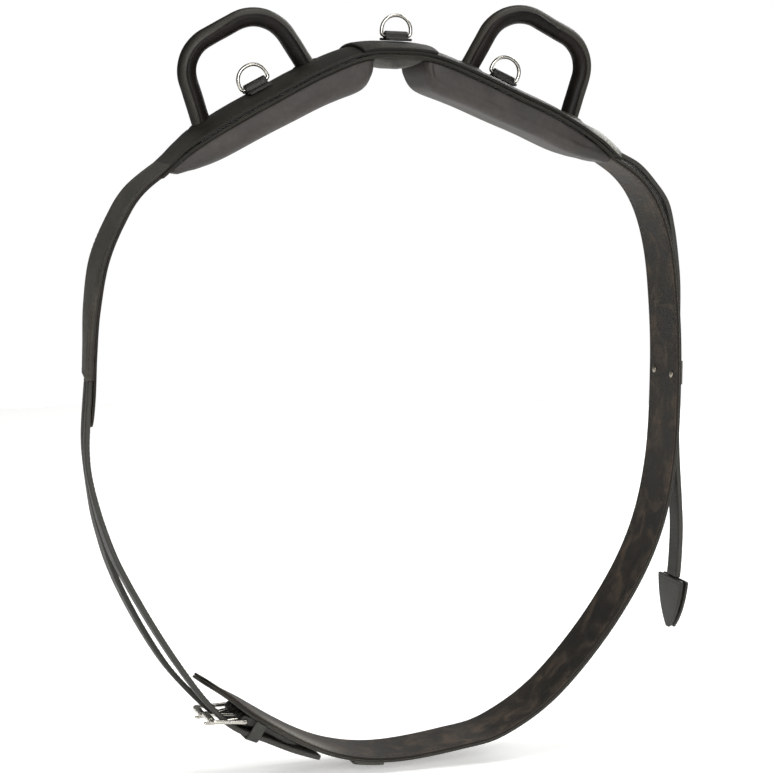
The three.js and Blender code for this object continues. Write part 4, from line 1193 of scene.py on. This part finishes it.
for name, y in sides:
    tilt = np.radians(frame_tilt[name])
    forwards = np.array([-np.cos(tilt), 0, np.sin(tilt)])  # from the back bar to the roller
    outwards = np.array([-np.sin(tilt), 0, -np.cos(tilt)])

    def in_frame(local):
        """Points given as forwards from the back bar, across and outwards."""
        local = np.asarray(local, float)
        return (BAR + local[..., :1] * forwards + (y + local[..., 1:2]) * np.array([0, 1.0, 0])
                + local[..., 2:] * outwards)

    half = FRAME_INSIDE / 2 + WIRE
    corners = [(0, -half), (FRAME_LENGTH, -half), (FRAME_LENGTH, half), (0, half)]
    line, run = evenly(rounded_line(corners, [2.6] * 4, closed=True), 160, closed=True)
    # the side bars are pressed a little flatter and wider in their middle
    press = np.exp(-(((line[:, 0] - FRAME_LENGTH / 2) / 9) ** 2)) * (np.abs(line[:, 1]) > half - 0.1)
    rings = tube(line, WIRE, 20, closed=True)
    rings[..., 1] *= 1 - 0.12 * press[:, None]
    skin(f"{name}_buckle_wire", in_frame(rings[..., [0, 2, 1]]), nickel, slot="nickel",
         replaces=[f"{name}_buckle_frame"], ring_line=True)

    # the roller: a sleeve bent from strip, slightly waved, with its seam turned down
    across = np.linspace(-11.8, 11.8, 60)[:, None]
    turn = np.linspace(0, 2 * np.pi, 41)[:-1][None]
    ends = 0.35 * np.exp(-(((11.8 - np.abs(across)) / 0.35) ** 2))
    seam = 0.25 * np.exp(-(((turn - 4.4) / 0.07) ** 2))
    radius = 3.12 - ends - seam + 0.07 * np.cos(across * 2 * np.pi / 7.9)
    outer = np.stack([FRAME_LENGTH + radius * np.cos(turn), across + 0 * turn, radius * np.sin(turn)], -1)
    bore = 2.35 + 0 * radius
    inner = np.stack([FRAME_LENGTH + bore * np.cos(turn), across + 0 * turn, bore * np.sin(turn)], -1)[::-1]
    skin(f"{name}_roller_sleeve", in_frame(np.concatenate([outer, inner])), nickel, body=f"{name}_roller",
         slot="nickel", replaces=[f"{name}_roller"], ring_line=True)

    # the tongue: a flat eye round the bar and a tapering shank that bows over the roller
    turn = np.linspace(0, 2 * np.pi, 37)[:-1]
    eye_line = np.stack([3.15 * np.cos(turn), 3.15 * np.sin(turn)], -1)
    eye = tube(eye_line, 0.8, 14, closed=True)
    eye[..., 1] *= 2.1
    shank_line = Route([(2.6, 0.3), (10, 1.2), (19, 3.3), (26, 5), (31, 5.6), (35, 4.9)]).line
    shank_line, run = evenly(shank_line, 60)
    thin = 1.65 - 0.35 * smooth(run, 6, 34) - 1.0 * smooth(run, run[-1] - 1.6, run[-1] + 0.4)
    shank = tube(shank_line, thin[:, None], 16)
    points = [in_frame(eye), in_frame(shank)]
    mesh = bpy.data.meshes.new(f"{name}_buckle_tongue")
    faces, first = [], 0
    for rings, joined in zip(points, (True, False)):
        n, m, _ = rings.shape
        faces += (first + grid_faces(n, m, ring_line=joined)).tolist()
        if not joined:
            faces += [[first + v for v in range(m)], [first + (n - 1) * m + v for v in range(m)]]
        first += n * m
    mesh.from_pydata((np.vstack([p.reshape(-1, 3) for p in points]) * MM).tolist(), [], faces)
    finished(f"{name}_buckle_tongue", mesh, nickel, f"{name}_tongue", [f"{name}_tongue"])

    # the chape: its outline runs along the girth, round the bar and back, and is pared thin at its end
    fold = WIRE + 0.3 + PLY
    s_bar = girth.s[np.argmin(np.linalg.norm(girth.line - BAR[[0, 2]], axis=1))]
    under = np.linspace(CHAPE_FROM, s_bar - 3, 40)
    over = np.linspace(s_bar - 5, CHAPE_FROM, 40)
    face = lambda s: (0.3 + 2 * PLY + 4 * smooth(s, CHAPE_TO - 16, CHAPE_TO)
                      - 1.9 * (1 - smooth(s, CHAPE_FROM, CHAPE_FROM + 10)))
    start = girth.at(under[-1], 0.3)[[0, 2]] - BAR[[0, 2]]
    stop = girth.at(over[0], face(over[0]))[[0, 2]] - BAR[[0, 2]]
    a0, a1 = np.arctan2(start[1], start[0]), np.arctan2(stop[1], stop[0])
    a1 += 2 * np.pi * (a1 < a0)
    turn = np.linspace(a0, a1, 40)[1:-1]
    if np.cos(turn.mean()) > 0:  # the fold goes round the bar's far side, away from the girth's middle
        turn = np.linspace(a0, a1 - 2 * np.pi, 40)[1:-1]
    around = BAR[[0, 2]] + fold * np.stack([np.cos(turn), np.sin(turn)], -1)
    profile = np.vstack([girth.at(under, 0.3)[:, [0, 2]], around, girth.at(over, face(over))[:, [0, 2]]])
    profile, run = evenly(profile, 150, closed=True)
    along = np.roll(profile, -1, 0) - np.roll(profile, 1, 0)
    normal = np.stack([along[:, 1], -along[:, 0]], -1) / np.linalg.norm(along, axis=1, keepdims=True)
    area = np.sum(profile[:, 0] * np.roll(profile[:, 1], -1) - profile[:, 1] * np.roll(profile[:, 0], -1))
    normal *= -np.sign(area)
    across, inset = stations(-CHAPE_HALF, CHAPE_HALF, 14, 0.7)
    inwards = profile[None] + normal[None] * inset[:, None, None]
    rings = np.stack([inwards[..., 0], y + across[:, None] + 0 * inwards[..., 0], inwards[..., 1]], -1)
    chape = skin(f"{name}_chape_fold", rings, chape_leather, replaces=[f"{name}_chape"])
    box = np.array([[-9.0, -2.3], [9.0, -2.3], [9.0, 2.3], [-9.0, 2.3]])
    slot = np.stack([np.column_stack([box, np.full(4, h)]) for h in (-9.0, 9.0)])
    cut_out(chape, cutter_from([in_frame(slot)]))
    first_stitch, short = CHAPE_FROM + 5.0, {"pitch": 3.6, "length": 2.5}
    for across, row in [(-1, "outside"), (1, "inside")]:
        seam = y + across * (CHAPE_HALF - 2.4)
        line = lambda s, out, w: girth.at(s, face(s) + out, seam + w)
        title = f"{name}_chape_{row}_stitching"
        stitches(title, line, first_stitch, KEEPER_AT - 8, pale_thread, **short)
    line = lambda w, out, s: girth.at(first_stitch + s, face(first_stitch) + out, y + w)
    stitches(f"{name}_chape_end_stitching", line, -8, 8, pale_thread, **short)

    # the billet's keeper leans with the billet, and its feet are sewn down beside the chape
    def keeper_line(s, wall=1.9):
        rise = 16.5 + 0.19 * (s - KEEPER_AT) + wall / 2
        reach = BILLET_HALF + 0.3 + wall / 2
        corners = [(-reach, 0.3), (-reach, rise), (reach, rise), (reach, 0.3)]
        return evenly(rounded_line(corners, [0, 2.6, 2.6, 0]), 60)[0]

    old = [f"{name}_billet_keeper"]
    over_band(
        f"{name}_keeper_loop", girth, KEEPER_AT, 5.5, keeper_line, 1.9, old, across=y, material=keeper_leather
    )
